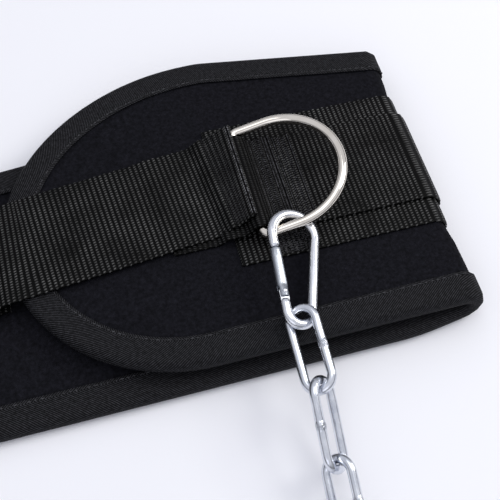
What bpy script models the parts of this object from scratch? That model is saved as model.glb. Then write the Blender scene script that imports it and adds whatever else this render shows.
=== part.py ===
"""A neoprene dip belt, lying as a flattened loop with its steel chain laid out in front of it.

Metres, +Z up. X runs along the belt and Y across it. The origin is on the surface that the belt
lies on, under the middle of its back. The photo shows the right half; the left half mirrors it.
"""

import math

import bmesh
import bpy
from mathutils import Matrix, Vector

# Clearance between pieces that touch on the real belt
GAP = 0.0003

# Pad: one wall of neoprene, folded over at both ends
PAD_THICKNESS = 0.005
NEAR_HALF_WIDTH_BACK = 0.0812
NEAR_HALF_WIDTH_FRONT = 0.0767
FAR_HALF_WIDTH = 0.0796
FAR_HALF_WIDTH_FOLD = 0.0671
FAR_HALF_WIDTH_MIDDLE = 0.0452
FAR_WIDENING_LENGTH = 0.0825
TIP_LENGTH = 0.078
FAR_TIP_LENGTH = 0.103
TIP_CENTRE_Y = -0.002
TIP_GAP = 0.050
TIP_TO_FOLD = 0.1895
FOLD_RADIUS = 0.0052

# How the pad gives under the webbing, at its edges and at its tips
EDGE_DROP = 0.0019
TIP_DROP = 0.0024
WEBBING_BED = 0.0014
EDGE_EASE_WIDTH = 0.038

# Edge binding: a twill tape folded round the pad's edge
BINDING_WIDTH = 0.012
BINDING_THICKNESS = 0.001

# Webbing
WEBBING_THICKNESS = 0.0014
WIDE_WIDTH = 0.075
NARROW_WIDTH = 0.050
BACK_SWAY = 0.0075
RING_FROM_TIP = 0.111
WIDE_PAST_RING = 0.0122
RAISED_PAST_RING = 0.0105
TAB_BEFORE_RING = 0.0175
TAB_PAST_RING = 0.040

# D-ring
RING_WIRE = 0.0046
RING_INNER_WIDTH = 0.052
RING_ARM = 0.016
RING_CORNER = 0.003
RING_LIFT = math.radians(13.7)
RING_SEAT = 0.0013
RING_TURN = math.radians(0.5)

# Strap from each ring to the clasp
STRAP_END_FROM_RING = 0.001
STRAP_OFFSET_Y = 0.0053
STRAP_SKEW = math.radians(4.9)
STRAP_FOLD_BACK = 0.0095

# Clasp: a plain steel plate with a slot at each end, hidden by the photo's edge
CLASP_LENGTH = 0.034
CLASP_THICKNESS = 0.003
CLASP_BAR = 0.0045
CLASP_SLOT = 0.006
CLASP_SIDE = 0.004
CLASP_HEIGHT = 0.0140

# Carabiner: a pear-shaped spring hook
HOOK_WIRE = 0.0046
HOOK_LENGTH = 0.057
HOOK_TOP_WIDTH = 0.025
HOOK_BOTTOM_WIDTH = 0.0163
HOOK_TOP = (0.01405, -0.0225, 0.0286)
HOOK_YAW = math.radians(-12.8)
HOOK_PITCH = math.radians(2.5)
HOOK_ROLL = math.radians(20.3)

# Gate of the carabiner
GATE_START = 0.0182
GATE_PIVOT = 0.0385
GATE_END_GAP = 0.0004
TONGUE_THICKNESS = 0.0016
PIN_RADIUS = 0.0011
PIN_LENGTH = 0.0054

# Chain of welded links, with one link in the middle
LINK_WIRE = 0.004
LINK_INNER_LENGTH = 0.032
LINK_INNER_WIDTH = 0.008
LINKS_PER_SIDE = 12
LINK_ROLL = math.radians(45)
FIRST_LINK_ROLLS = (math.radians(29.7), math.radians(-46.5), math.radians(42))

# Route of one half of the chain from the hook to its bend, as x from the ring, y and z
CHAIN_ROUTE = (
    (0.00370, -0.06872, 0.02642),
    (0.00283, -0.10029, 0.02360),
    (0.00098, -0.13036, 0.01376),
    (-0.00096, -0.16101, 0.00690),
    (-0.00200, -0.19270, 0.00690),
)
BEND_STEPS = 6

# Facets
WIRE_SIDES = 6
FOLD_STEPS = 8
TIP_STEPS = 7

# Sizes worked out from the ones above
RAISED_STACK = 2 * (GAP + WEBBING_THICKNESS)
PAD_HEIGHT = PAD_THICKNESS / 2 + RAISED_STACK
FRONT_HEIGHT = PAD_HEIGHT + 2 * FOLD_RADIUS
FOLD_X = TIP_GAP / 2 + TIP_TO_FOLD
FOLD_ARC = math.pi * FOLD_RADIUS
PAD_HALF_LENGTH = FOLD_X + FOLD_ARC + TIP_TO_FOLD
RING_X = TIP_GAP / 2 + RING_FROM_TIP
RING_RADIUS = RING_WIRE / 2
RING_HEIGHT = FRONT_HEIGHT + PAD_HEIGHT + GAP + RING_SEAT + RING_RADIUS
WIDE_OFFSET = PAD_THICKNESS / 2 + GAP + WEBBING_THICKNESS / 2
RAISED_OFFSET = WIDE_OFFSET + WEBBING_THICKNESS + GAP
BINDING_OFFSET = PAD_THICKNESS / 2 + 1.4 * GAP + BINDING_THICKNESS / 2


def ease(value, start, end):
    """Rises smoothly from 0 at start to 1 at end."""
    share = min(max((value - start) / (end - start), 0.0), 1.0)
    return share * share * (3 - 2 * share)


def blend(first, second, share):
    """Goes from first to second as share goes from 0 to 1."""
    return first + (second - first) * share


# The pad's surface

def fold_share(run):
    """How far a point is round the fold: 0 on the back, 1 on the front portion."""
    return min(max((run - FOLD_X) / FOLD_ARC, 0.0), 1.0)


def middle_line(run):
    """Point and outward normal of the pad's middle line in the XZ plane, run metres from the back's middle."""
    if run <= FOLD_X:
        return (run, PAD_HEIGHT), (0.0, -1.0)
    if run >= FOLD_X + FOLD_ARC:
        return (FOLD_X - (run - FOLD_X - FOLD_ARC), FRONT_HEIGHT), (0.0, 1.0)
    angle = (run - FOLD_X) / FOLD_RADIUS
    x = FOLD_X + FOLD_RADIUS * math.sin(angle)
    z = PAD_HEIGHT + FOLD_RADIUS * (1 - math.cos(angle))
    return (x, z), (math.sin(angle), -math.cos(angle))


def tip_share(run, length):
    """Share of the full width that the rounded tip leaves, as a quarter of an ellipse of a length."""
    from_tip = PAD_HALF_LENGTH - run
    if from_tip >= length:
        return 1.0
    return math.sqrt(max(1 - (1 - from_tip / length) ** 2, 0.0))


def near_edge(run):
    """Y of the pad's near edge."""
    front = ease(run, FOLD_X - 0.15 * TIP_TO_FOLD, FOLD_X + FOLD_ARC)
    half_width = blend(NEAR_HALF_WIDTH_BACK, NEAR_HALF_WIDTH_FRONT, front)
    return blend(TIP_CENTRE_Y, -half_width, tip_share(run, TIP_LENGTH))


def far_edge(run):
    """Y of the pad's far edge: narrow at the middle of the back, wider at the fold and widest past it."""
    half_width = blend(FAR_HALF_WIDTH_MIDDLE, FAR_HALF_WIDTH_FOLD, ease(run, 0.0, FOLD_X))
    past_fold = min(max(run - FOLD_X - FOLD_ARC, 0.0) / FAR_WIDENING_LENGTH, 1.0)
    half_width += (FAR_HALF_WIDTH - FAR_HALF_WIDTH_FOLD) * past_fold
    return blend(TIP_CENTRE_Y, half_width, tip_share(run, FAR_TIP_LENGTH))


def pad_shift(run, y):
    """How far the pad's middle surface is pushed outward from its plain line at a point."""
    side = abs(y)
    past_webbing = WIDE_WIDTH / 2 + 3 * GAP
    back = EDGE_DROP * ease(side, past_webbing, past_webbing + EDGE_EASE_WIDTH)
    from_fold = run - FOLD_X - FOLD_ARC
    front = -TIP_DROP * ease(from_fold, 0.55 * TIP_TO_FOLD, 0.97 * TIP_TO_FOLD)
    share = fold_share(run)
    bed = 1 - ease(side, past_webbing, past_webbing + 0.2 * EDGE_EASE_WIDTH)
    return blend(back, front, share) - WEBBING_BED * bed * math.sin(math.pi * share)


def pad_point(run, y):
    """Point of the pad's middle surface; a negative run is on the mirrored left half."""
    (x, z), (normal_x, normal_z) = middle_line(abs(run))
    shift = pad_shift(abs(run), y)
    side = -1 if run < 0 else 1
    return Vector((side * (x + normal_x * shift), y, z + normal_z * shift))


def off_pad(run, y, offset):
    """Point at an offset along the pad's own outward normal."""
    step = 0.0004
    along = pad_point(run + step, y) - pad_point(run - step, y)
    across = pad_point(run, y + step) - pad_point(run, y - step)
    return pad_point(run, y) + offset * across.cross(along).normalized()


def half_stations():
    """Runs from the back's middle to the tip where every layer has a row."""
    back = [FOLD_X * share for share in (0.0, 0.2, 0.4, 0.6, 0.77, 0.92)]
    fold = [FOLD_X + FOLD_ARC * step / FOLD_STEPS for step in range(FOLD_STEPS + 1)]
    front_start = FOLD_X + FOLD_ARC
    tip_start = PAD_HALF_LENGTH - TIP_LENGTH
    front = [blend(front_start, tip_start, share) for share in (0.11, 0.22, 0.34, 0.48, 0.65, 0.75, 0.85, 0.95, 1.0)]
    first, last = math.radians(7), math.radians(90)
    angles = [blend(last, first, (step + 1) / TIP_STEPS) for step in range(TIP_STEPS)]
    tip = [PAD_HALF_LENGTH - TIP_LENGTH * (1 - math.cos(angle)) for angle in angles]
    return back + fold + front + tip


def all_stations():
    """The runs of both halves, from the left tip to the right tip."""
    half = half_stations()
    return [-run for run in reversed(half[1:])] + half


# Making solids

def add_mesh(name, vertices, faces, material, collection):
    """Makes a mesh object from points and faces."""
    mesh = bpy.data.meshes.new(name)
    mesh.from_pydata([tuple(point) for point in vertices], [], faces)
    mesh.materials.append(material)
    made = bpy.data.objects.new(name, mesh)
    collection.objects.link(made)
    return made


def shade(made, degrees=40):
    """Smooth shading with sharp edges past an angle."""
    made.data.shade_smooth()
    made.data.set_sharp_from_angle(angle=math.radians(degrees))


def add_sheet(name, rows, thickness, material, collection, closed=False, turned=0):
    """A sheet through rows of points, given its thickness by Solidify.

    The first turned columns of faces split along their other diagonal.
    """
    width = len(rows[0])
    vertices = [point for row in rows for point in row]
    faces = []
    last = len(rows) if closed else len(rows) - 1
    for row in range(last):
        following = (row + 1) % len(rows)
        for column in range(width - 1):
            first = row * width + column
            second = following * width + column
            corners = (first, first + 1, second + 1, second)
            faces.append(corners[1:] + corners[:1] if column < turned else corners)
    made = add_mesh(name, vertices, faces, material, collection)
    solidify = made.modifiers.new("thickness", "SOLIDIFY")
    solidify.thickness = thickness
    solidify.offset = 0
    solidify.use_even_offset = True
    shade(made)
    return made


def add_wire(name, points, wire, material, collection, cyclic=True):
    """A round wire through points, with a few sides."""
    curve = bpy.data.curves.new(name, "CURVE")
    curve.dimensions = "3D"
    curve.bevel_depth = wire / 2
    curve.bevel_resolution = (WIRE_SIDES - 4) // 2
    curve.use_fill_caps = True
    spline = curve.splines.new("POLY")
    spline.points.add(len(points) - 1)
    for point, place in zip(spline.points, points):
        point.co = (*place, 1.0)
    spline.use_cyclic_u = cyclic
    curve.materials.append(material)
    made = bpy.data.objects.new(name, curve)
    collection.objects.link(made)
    return made


def as_mesh(curve_object, collection):
    """Replaces a curve object by a mesh object of the same shape, with its caps welded."""
    bpy.context.view_layer.update()
    graph = bpy.context.evaluated_depsgraph_get()
    mesh = bpy.data.meshes.new_from_object(curve_object.evaluated_get(graph))
    work = bmesh.new()
    work.from_mesh(mesh)
    bmesh.ops.remove_doubles(work, verts=work.verts, dist=0.00001)
    bmesh.ops.recalc_face_normals(work, faces=work.faces)
    work.to_mesh(mesh)
    work.free()
    name = curve_object.name
    place = curve_object.matrix_world.copy()
    bpy.data.objects.remove(curve_object)
    made = bpy.data.objects.new(name, mesh)
    made.matrix_world = place
    collection.objects.link(made)
    return made


def add_box(name, size, place, collection):
    """A box of a size, at a place given by a matrix."""
    work = bmesh.new()
    bmesh.ops.create_cube(work, size=1.0)
    bmesh.ops.scale(work, vec=size, verts=work.verts)
    return add_tool(name, work, place, collection)


def add_cylinder(name, radius, length, place, collection, sides=16):
    """A cylinder along the local Z axis, at a place given by a matrix."""
    work = bmesh.new()
    bmesh.ops.create_cone(
        work, cap_ends=True, segments=sides, radius1=radius, radius2=radius, depth=length
    )
    return add_tool(name, work, place, collection)


def add_tool(name, work, place, collection):
    """An object from a bmesh, at a place given by a matrix."""
    mesh = bpy.data.meshes.new(name)
    work.to_mesh(mesh)
    work.free()
    made = bpy.data.objects.new(name, mesh)
    made.matrix_world = place
    collection.objects.link(made)
    return made


def as_cutter(tool):
    """Hides a tool and shows it as wire."""
    tool.hide_render = True
    tool.display_type = "WIRE"
    return tool


def combine(target, tool, operation):
    """Adds a Boolean with a tool to the target."""
    change = target.modifiers.new(tool.name, "BOOLEAN")
    change.operation = operation
    change.object = as_cutter(tool)


# Materials

def surface(name, colour, roughness, metallic=0.0):
    """A plain Principled material."""
    material = bpy.data.materials.new(name)
    material.use_nodes = True
    shader = material.node_tree.nodes["Principled BSDF"]
    shader.inputs["Base Color"].default_value = (*colour, 1.0)
    shader.inputs["Roughness"].default_value = roughness
    shader.inputs["Metallic"].default_value = metallic
    return material


def neoprene():
    """Black knit face of the foam rubber."""
    return surface("neoprene", (0.012, 0.012, 0.016), 0.85)


def twill_tape():
    """Black woven tape of the binding."""
    return surface("twill_tape", (0.018, 0.018, 0.020), 0.8)


def webbing():
    """Black ribbed nylon webbing."""
    return surface("webbing", (0.020, 0.020, 0.021), 0.65)


def nickel_plate():
    """Bright nickel-plated steel of the rings."""
    return surface("nickel_plate", (0.72, 0.69, 0.63), 0.12, 1.0)


def zinc_plate():
    """Satin zinc-plated steel of the hooks and the chain."""
    return surface("zinc_plate", (0.66, 0.68, 0.72), 0.28, 1.0)


# Pad and binding

def row_across(run):
    """Y places of the pad's columns at a run, closer together near the edges."""
    near, far = near_edge(run), far_edge(run)
    half = (far - near) / 2
    under_tape = min(BINDING_WIDTH, 0.34 * half)
    past_webbing = WIDE_WIDTH / 2 + 3 * GAP
    lower = max(-past_webbing, near + 1.3 * under_tape)
    upper = min(past_webbing, far - 1.3 * under_tape)
    return [near, near + under_tape / 2, near + under_tape, lower, (lower + upper) / 2, upper,
            far - under_tape, far - under_tape / 2, far]


def build_pad(material, collection):
    """The neoprene wall, through a row of points at each station."""
    rows = [[pad_point(run, y) for y in row_across(abs(run))] for run in all_stations()]
    return add_sheet("pad", rows, PAD_THICKNESS, material, collection)


def pad_outline():
    """The pad's closed outline in its own flat frame, as pairs of run and y."""
    runs = all_stations()
    near = [(run, near_edge(abs(run))) for run in runs]
    far = [(run, far_edge(abs(run))) for run in reversed(runs)]
    return near + far


def build_binding(material, collection):
    """The tape: a U-shaped sheet that goes round the pad's outline."""
    outline = [Vector(pair) for pair in pad_outline()]
    wall = BINDING_OFFSET
    past_edge = 2 * GAP + BINDING_THICKNESS / 2
    profile = (
        (-BINDING_WIDTH, -wall),
        (-BINDING_WIDTH / 2, -wall),
        (past_edge, -wall),
        (past_edge, wall),
        (-BINDING_WIDTH / 2, wall),
        (-BINDING_WIDTH, wall),
    )
    rows = []
    for index, place in enumerate(outline):
        before = outline[index - 1]
        after = outline[(index + 1) % len(outline)]
        first = (place - before).normalized()
        second = (after - place).normalized()
        heading = (first + second).normalized()
        outward = Vector((heading.y, -heading.x))
        stretch = 1 / max(outward.dot(Vector((first.y, -first.x))), 0.5)
        row = []
        for past, offset in profile:
            spot = place + outward * past * stretch
            row.append(off_pad(spot.x, spot.y, offset))
        rows.append(row)
    return add_sheet("pad_binding", rows, BINDING_THICKNESS, material, collection, True, 2)


# Webbing

def run_at(x):
    """Run of a point on the right front portion, from its X."""
    return FOLD_X + FOLD_ARC + (FOLD_X - x)


def build_long_webbing(name, width, past_ring, offset, material, collection):
    """Webbing that follows the pad's outer face from ring to ring, round both folds."""
    end = run_at(RING_X - past_ring)
    runs = [run for run in all_stations() if abs(run) < end - 0.002]
    runs = [-end] + runs + [end]
    rows = []
    for run in runs:
        middle = -BACK_SWAY * (1 - ease(abs(run), 0.0, 0.6 * FOLD_X))
        rows.append([off_pad(run, middle + y, offset) for y in (-width / 2, width / 2)])
    return add_sheet(name, rows, WEBBING_THICKNESS, material, collection)


def tab_height(along):
    """Height of the tab's middle over the surface, along metres outward from the ring's bar."""
    flat = FRONT_HEIGHT + RAISED_OFFSET + WEBBING_THICKNESS + GAP
    on_pad = FRONT_HEIGHT + WIDE_OFFSET
    crest = RING_HEIGHT + RING_RADIUS + GAP + WEBBING_THICKNESS / 2
    hump = 1 - ease(abs(along), 0.15 * RING_WIRE, 1.7 * RING_WIRE)
    step_end = WIDE_PAST_RING + 1.5 * WEBBING_THICKNESS
    base = blend(flat, on_pad, ease(-along, step_end, step_end + 4 * WEBBING_THICKNESS))
    return base + (crest - flat) * hump


def tab_places():
    """Distances from the bar where the tab has a row, from its inner end to its outer end."""
    hump = [RING_WIRE * share for share in (-1.7, -1.35, -1.0, -0.7, -0.35, 0.0, 0.35, 0.7, 1.0, 1.35, 1.7)]
    step_end = WIDE_PAST_RING + 1.5 * WEBBING_THICKNESS
    steps = [-TAB_PAST_RING, -step_end - 4 * WEBBING_THICKNESS, -step_end - 2 * WEBBING_THICKNESS, -step_end]
    return steps + hump + [TAB_BEFORE_RING]


def build_tab(name, side, material, collection):
    """Short webbing over the ring's bar."""
    rows = []
    for along in tab_places():
        x, z = RING_X + along, tab_height(along)
        rows.append([Vector((side * x, y, z)) for y in (-NARROW_WIDTH / 2, NARROW_WIDTH / 2)])
    return add_sheet(name, rows, WEBBING_THICKNESS, material, collection)


def offset_line(line, distance):
    """The line moved sideways by a distance, to its left."""
    moved = []
    for index, place in enumerate(line):
        before = line[max(index - 1, 0)]
        after = line[min(index + 1, len(line) - 1)]
        first = (place - before).normalized() if index else (after - place).normalized()
        second = (after - place).normalized() if index < len(line) - 1 else first
        heading = (first + second).normalized()
        left = Vector((-heading.y, heading.x))
        moved.append(place + left * distance / max(left.dot(Vector((-first.y, first.x))), 0.5))
    return moved


def strap_line():
    """Distance from the bar and height of the strap's middle, from its sewn end to the clasp."""
    tab = [Vector((along, tab_height(along))) for along in tab_places()]
    over_tab = offset_line(tab, WEBBING_THICKNESS + GAP)
    start = Vector((-STRAP_END_FROM_RING, tab_height(0.0) + WEBBING_THICKNESS + GAP))
    line = [start] + [place for place in reversed(over_tab) if place.x < -0.5 * RING_WIRE]
    on_pad = FRONT_HEIGHT + WIDE_OFFSET + 2 * GAP
    line.append(Vector((line[-1].x - 4 * WEBBING_THICKNESS, blend(line[-1].y, on_pad, 0.8))))
    over_tip = FRONT_HEIGHT - TIP_DROP + BINDING_OFFSET + (BINDING_THICKNESS + WEBBING_THICKNESS) / 2 + GAP
    line.append(Vector((-RING_FROM_TIP - BINDING_THICKNESS - GAP, over_tip)))
    return line


def strap_middle(along):
    """Y of the strap's middle: it runs askew as far as the pad's tip, then straight."""
    return STRAP_OFFSET_Y - math.tan(STRAP_SKEW) * min(-along, RING_FROM_TIP)


def build_strap(name, side, material, collection):
    """The strap from its sewn end over the tab, over the pad's tip and round the clasp's end bar."""
    rows = []
    line = strap_line()
    half = Vector((0, NARROW_WIDTH / 2, 0))
    for place in line:
        middle = Vector((RING_X + place.x, strap_middle(place.x), place.y))
        rows.append([middle - half, middle + half])
    y = strap_middle(-RING_FROM_TIP)
    turn_radius = (CLASP_THICKNESS + WEBBING_THICKNESS) / 2 + GAP
    inner_x = CLASP_LENGTH / 2 - CLASP_BAR
    turn = [(inner_x + CLASP_BAR, CLASP_HEIGHT + turn_radius)]
    for step in range(5):
        angle = math.pi * step / 4
        turn.append((inner_x - turn_radius * math.sin(angle), CLASP_HEIGHT + turn_radius * math.cos(angle)))
    turn.append((inner_x + STRAP_FOLD_BACK, CLASP_HEIGHT - turn_radius))
    for turn_x, turn_z in turn:
        middle = Vector((turn_x, y, turn_z))
        rows.append([middle - half, middle + half])
    rows = [[Vector((side * point.x, point.y, point.z)) for point in row] for row in rows]
    return add_sheet(name, rows, WEBBING_THICKNESS, material, collection)


def build_clasp(material, collection, cutters):
    """Plain plate with a slot at each end for the strap."""
    middle_y = strap_middle(-RING_FROM_TIP)
    width = NARROW_WIDTH + 2 * CLASP_SIDE + 4 * GAP
    place = Matrix.Translation((0, middle_y, CLASP_HEIGHT))
    clasp = add_box("strap_clasp", (CLASP_LENGTH, width, CLASP_THICKNESS), place, collection)
    clasp.data.materials.append(material)
    for side in (-1, 1):
        slot_x = side * (CLASP_LENGTH / 2 - CLASP_BAR - CLASP_SLOT / 2)
        slot_place = Matrix.Translation((slot_x, middle_y, CLASP_HEIGHT))
        size = (CLASP_SLOT, width - 2 * CLASP_SIDE, 3 * CLASP_THICKNESS)
        combine(clasp, add_box("clasp_slot", size, slot_place, cutters), "DIFFERENCE")
    return clasp


# D-rings

def arc_points(centre, radius, start, end, steps):
    """Points on an arc in a plane, with both ends."""
    points = []
    for step in range(steps + 1):
        angle = blend(start, end, step / steps)
        points.append(Vector((centre[0] + radius * math.cos(angle), centre[1] + radius * math.sin(angle))))
    return points


def ring_outline():
    """The D in its own plane: the bar is on the Y axis and the bow points to +X."""
    half = (RING_INNER_WIDTH + RING_WIRE) / 2
    right = math.radians(90)
    lower = arc_points((RING_CORNER, -half + RING_CORNER), RING_CORNER, -2 * right, -right, 2)
    bow = arc_points((RING_ARM, 0), half, -right, right, 12)
    upper = arc_points((RING_CORNER, half - RING_CORNER), RING_CORNER, right, 2 * right, 2)
    return lower + bow + upper


def ring_place():
    """Matrix of the right D-ring: its bar under the tab and its bow lifted."""
    seat = Matrix.Translation((RING_X, 0, RING_HEIGHT))
    turn = Matrix.Rotation(RING_TURN, 4, "Z")
    lift = Matrix.Rotation(-RING_LIFT, 4, "Y")
    return seat @ turn @ lift


def flat_loop(outline, place, side):
    """Points of a flat loop after its matrix, mirrored for the left side."""
    points = []
    for spot in outline:
        world = place @ Vector((spot.x, spot.y, 0))
        points.append(Vector((side * world.x, world.y, world.z)))
    return points


def build_ring(name, side, material, collection):
    """A D-ring of round wire."""
    return add_wire(name, flat_loop(ring_outline(), ring_place(), side), RING_WIRE, material, collection)


# Carabiners

def hook_frame():
    """Matrix of the right carabiner: local Y runs from the top bow down, local X to the right."""
    top = Matrix.Translation((RING_X + HOOK_TOP[0], HOOK_TOP[1], HOOK_TOP[2]))
    down = Matrix.Rotation(math.radians(180), 4, "X")
    yaw = Matrix.Rotation(HOOK_YAW, 4, "Z")
    pitch = Matrix.Rotation(HOOK_PITCH, 4, "X")
    roll = Matrix.Rotation(HOOK_ROLL, 4, "Y")
    return top @ yaw @ pitch @ roll @ down


def hook_sizes():
    """Radii of the two bows' middle lines, the distance of their centres and the legs' lean."""
    top = (HOOK_TOP_WIDTH - HOOK_WIRE) / 2
    bottom = (HOOK_BOTTOM_WIDTH - HOOK_WIRE) / 2
    apart = HOOK_LENGTH - HOOK_WIRE - top - bottom
    lean = math.asin((top - bottom) / apart)
    return top, bottom, apart, lean


def left_leg_point(down):
    """Point of the left leg's middle line at a distance down from the top bow."""
    top, bottom, apart, lean = hook_sizes()
    start = Vector((-top * math.cos(lean), top + top * math.sin(lean)))
    along = Vector((math.sin(lean), math.cos(lean)))
    return start + along * (down - start.y) / along.y


def hook_bows():
    """Points of the top bow, from its left to its right end, and of the bottom bow, from right to left."""
    top, bottom, apart, lean = hook_sizes()
    half = math.radians(180)
    top_bow = arc_points((0, top), top, half - lean, 2 * half + lean, 12)
    bottom_bow = arc_points((0, top + apart), bottom, lean, half - lean, 8)
    return top_bow, bottom_bow


def build_plain_hook(name, side, material, collection):
    """A closed carabiner with no moving gate, for the side that the photo doesn't show."""
    top_bow, bottom_bow = hook_bows()
    points = flat_loop(top_bow + bottom_bow, hook_frame(), side)
    return add_wire(name, points, HOOK_WIRE, material, collection)


def gate_frame():
    """Matrix at the gate's pivot: local Y runs up the leg to the gate's free end, local Z is the pin's axis."""
    top, bottom, apart, lean = hook_sizes()
    pivot = left_leg_point(GATE_PIVOT)
    up = Vector((-math.sin(lean), -math.cos(lean), 0))
    out = Vector((0, 0, 1))
    right = up.cross(out)
    local = Matrix((right, up, out)).transposed().to_4x4()
    local.translation = Vector((pivot.x, pivot.y, 0))
    return hook_frame() @ local


def build_hook(name, material, collection, cutters):
    """The carabiner's body: open wire with a flat tongue that the gate turns on."""
    radius = HOOK_WIRE / 2
    top_bow, bottom_bow = hook_bows()
    nose = left_leg_point(GATE_START - GATE_END_GAP / 2)
    stub = left_leg_point(GATE_PIVOT + radius + GATE_END_GAP)
    outline = [nose] + top_bow + bottom_bow + [stub]
    curve = add_wire(name, flat_loop(outline, hook_frame(), 1), HOOK_WIRE, material, collection, cyclic=False)
    body = as_mesh(curve, collection)
    frame = gate_frame()
    reach = 2.2 * radius
    tongue_place = frame @ Matrix.Translation((0, -reach / 2 - 0.4 * radius, 0))
    tongue_size = (1.5 * radius, reach + 0.8 * radius, TONGUE_THICKNESS)
    combine(body, add_box("hook_tongue", tongue_size, tongue_place, cutters), "UNION")
    end = add_cylinder("hook_tongue_end", radius, TONGUE_THICKNESS, frame, cutters, 12)
    combine(body, end, "UNION")
    hole = add_cylinder("hook_tongue_hole", PIN_RADIUS + GAP, 3 * TONGUE_THICKNESS, frame, cutters, 12)
    combine(body, hole, "DIFFERENCE")
    shade(body)
    return body


def build_gate(name, material, collection, cutters):
    """The gate: a round bar with a forked end and its pin."""
    radius = HOOK_WIRE / 2
    frame = gate_frame()
    lean = hook_sizes()[3]
    length = (GATE_PIVOT - GATE_START - GATE_END_GAP / 2) / math.cos(lean)
    half_turn = Matrix.Rotation(math.radians(-90), 4, "X")
    bar_place = frame @ Matrix.Translation((0, length / 2, 0)) @ half_turn
    gate = add_cylinder(name, radius, length, bar_place, collection, 10)
    gate.data.materials.append(material)
    combine(gate, add_cylinder("gate_end", 0.97 * radius, 1.9 * radius, frame, cutters, 12), "UNION")
    slot_size = (3 * radius, 2 * (radius + GATE_END_GAP), TONGUE_THICKNESS + 2 * GAP)
    combine(gate, add_box("gate_slot", slot_size, frame, cutters), "DIFFERENCE")
    combine(gate, add_cylinder("gate_pin", PIN_RADIUS, PIN_LENGTH, frame, cutters, 10), "UNION")
    shade(gate)
    return gate


# Chain

def spline_point(points, place):
    """Point on a Catmull-Rom curve through points; place counts spans from the first point."""
    last = len(points) - 1
    span = min(int(place), last - 1)
    share = place - span
    before = points[max(span - 1, 0)]
    first, second = points[span], points[span + 1]
    after = points[min(span + 2, last)]
    linear = (second - before) / 2
    square = before - first * 2.5 + second * 2 - after / 2
    cube = (after - before) / 2 + (first - second) * 1.5
    return first + linear * share + square * share ** 2 + cube * share ** 3


def route_points(reach):
    """The chain's route in world places: the chosen points, then a round bend past a straight of a length."""
    points = [Vector((RING_X + x, y, z)) for x, y, z in CHAIN_ROUTE]
    start = points[-1]
    for step in range(BEND_STEPS + 2):
        angle = math.radians(90) * step / BEND_STEPS
        across = start.x * math.cos(angle)
        points.append(Vector((across, start.y - reach - start.x * math.sin(angle), start.z)))
    return points


def lay_joints(reach, pitch):
    """Places where links meet, a pitch apart along the route, and how far the last one is from the middle."""
    points = route_points(reach)
    joints = [spline_point(points, 0.0)]
    place = 0.0
    while len(joints) <= LINKS_PER_SIDE:
        step = 0.002
        here = spline_point(points, place)
        while (here - joints[-1]).length < pitch and place < len(points) - 1.001:
            place += step
            here = spline_point(points, place)
        joints.append(joints[-1] + (here - joints[-1]).normalized() * pitch)
    return joints, joints[-1].x


def chain_joints():
    """Joints of one half; the route's reach is found so that the last joint is half a link from the middle."""
    pitch = LINK_INNER_LENGTH - GAP
    low, high = 0.001, 0.2
    for _ in range(40):
        reach = (low + high) / 2
        joints, from_middle = lay_joints(reach, pitch)
        if from_middle < pitch / 2:
            low = reach
        else:
            high = reach
    return joints + [Vector((-joints[-1].x, joints[-1].y, joints[-1].z))]


def link_roll(index):
    """Roll of a link about its length; neighbours lean opposite ways."""
    if index < len(FIRST_LINK_ROLLS):
        return FIRST_LINK_ROLLS[index]
    return LINK_ROLL if index % 2 == 0 else -LINK_ROLL


def link_outline():
    """A link in its own plane, long along X."""
    half_width = (LINK_INNER_WIDTH + LINK_WIRE) / 2
    straight = (LINK_INNER_LENGTH + LINK_WIRE) / 2 - half_width
    right = math.radians(90)
    first = arc_points((straight, 0), half_width, -right, right, 6)
    second = arc_points((-straight, 0), half_width, right, 3 * right, 6)
    return first + second


def link_place(start, end, roll):
    """Matrix of a link between two joints, rolled about its length."""
    along = (end - start).normalized()
    across = Vector((0, 0, 1)).cross(along).normalized()
    rise = along.cross(across)
    turned = across * math.cos(roll) + rise * math.sin(roll)
    place = Matrix((along, turned, along.cross(turned))).transposed().to_4x4()
    place.translation = (start + end) / 2
    return place


def build_chain(material, collection):
    """All links, from the right hook round to the left one."""
    joints = chain_joints()
    outline = link_outline()
    for index in range(LINKS_PER_SIDE + 1):
        place = link_place(joints[index], joints[index + 1], link_roll(index))
        for side in (1, -1):
            number = index + 1 if side > 0 else 2 * LINKS_PER_SIDE + 1 - index
            if side < 0 and index == LINKS_PER_SIDE:
                continue
            points = flat_loop(outline, place, side)
            add_wire(f"chain_link_{number:02d}", points, LINK_WIRE, material, collection)


def main():
    """Builds the belt."""
    for old in list(bpy.data.objects):
        bpy.data.objects.remove(old)
    scene_collection = bpy.context.scene.collection
    belt = bpy.data.collections.new("dip_belt")
    cutters = bpy.data.collections.new("cutters")
    scene_collection.children.link(belt)
    scene_collection.children.link(cutters)
    cloth, tape, band = neoprene(), twill_tape(), webbing()
    nickel, zinc = nickel_plate(), zinc_plate()
    build_pad(cloth, belt)
    build_binding(tape, belt)
    build_long_webbing("webbing_wide", WIDE_WIDTH, WIDE_PAST_RING, WIDE_OFFSET, band, belt)
    build_long_webbing("webbing_raised", NARROW_WIDTH, RAISED_PAST_RING, RAISED_OFFSET, band, belt)
    for side, word in ((1, "right"), (-1, "left")):
        build_tab(f"ring_tab_{word}", side, band, belt)
        build_ring(f"dring_{word}", side, nickel, belt)
        build_strap(f"strap_{word}", side, band, belt)
    build_clasp(nickel, belt, cutters)
    build_hook("carabiner_right", zinc, belt, cutters)
    build_gate("carabiner_gate", zinc, belt, cutters)
    build_plain_hook("carabiner_left", -1, zinc, belt)
    build_chain(zinc, belt)


main()
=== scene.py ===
"""A neoprene dip belt with its steel chain, dressed round the CAD frame on a white studio floor.

Metres, +Z up. X runs along the belt, Y across it. Every piece takes its place from the same named
sizes as the CAD model, and rides on the body that its solid belongs to.
"""

import logging
import math
import random
from dataclasses import dataclass
from enum import Enum
from typing import Callable, Sequence

import bpy
from mathutils import Matrix, Vector


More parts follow.
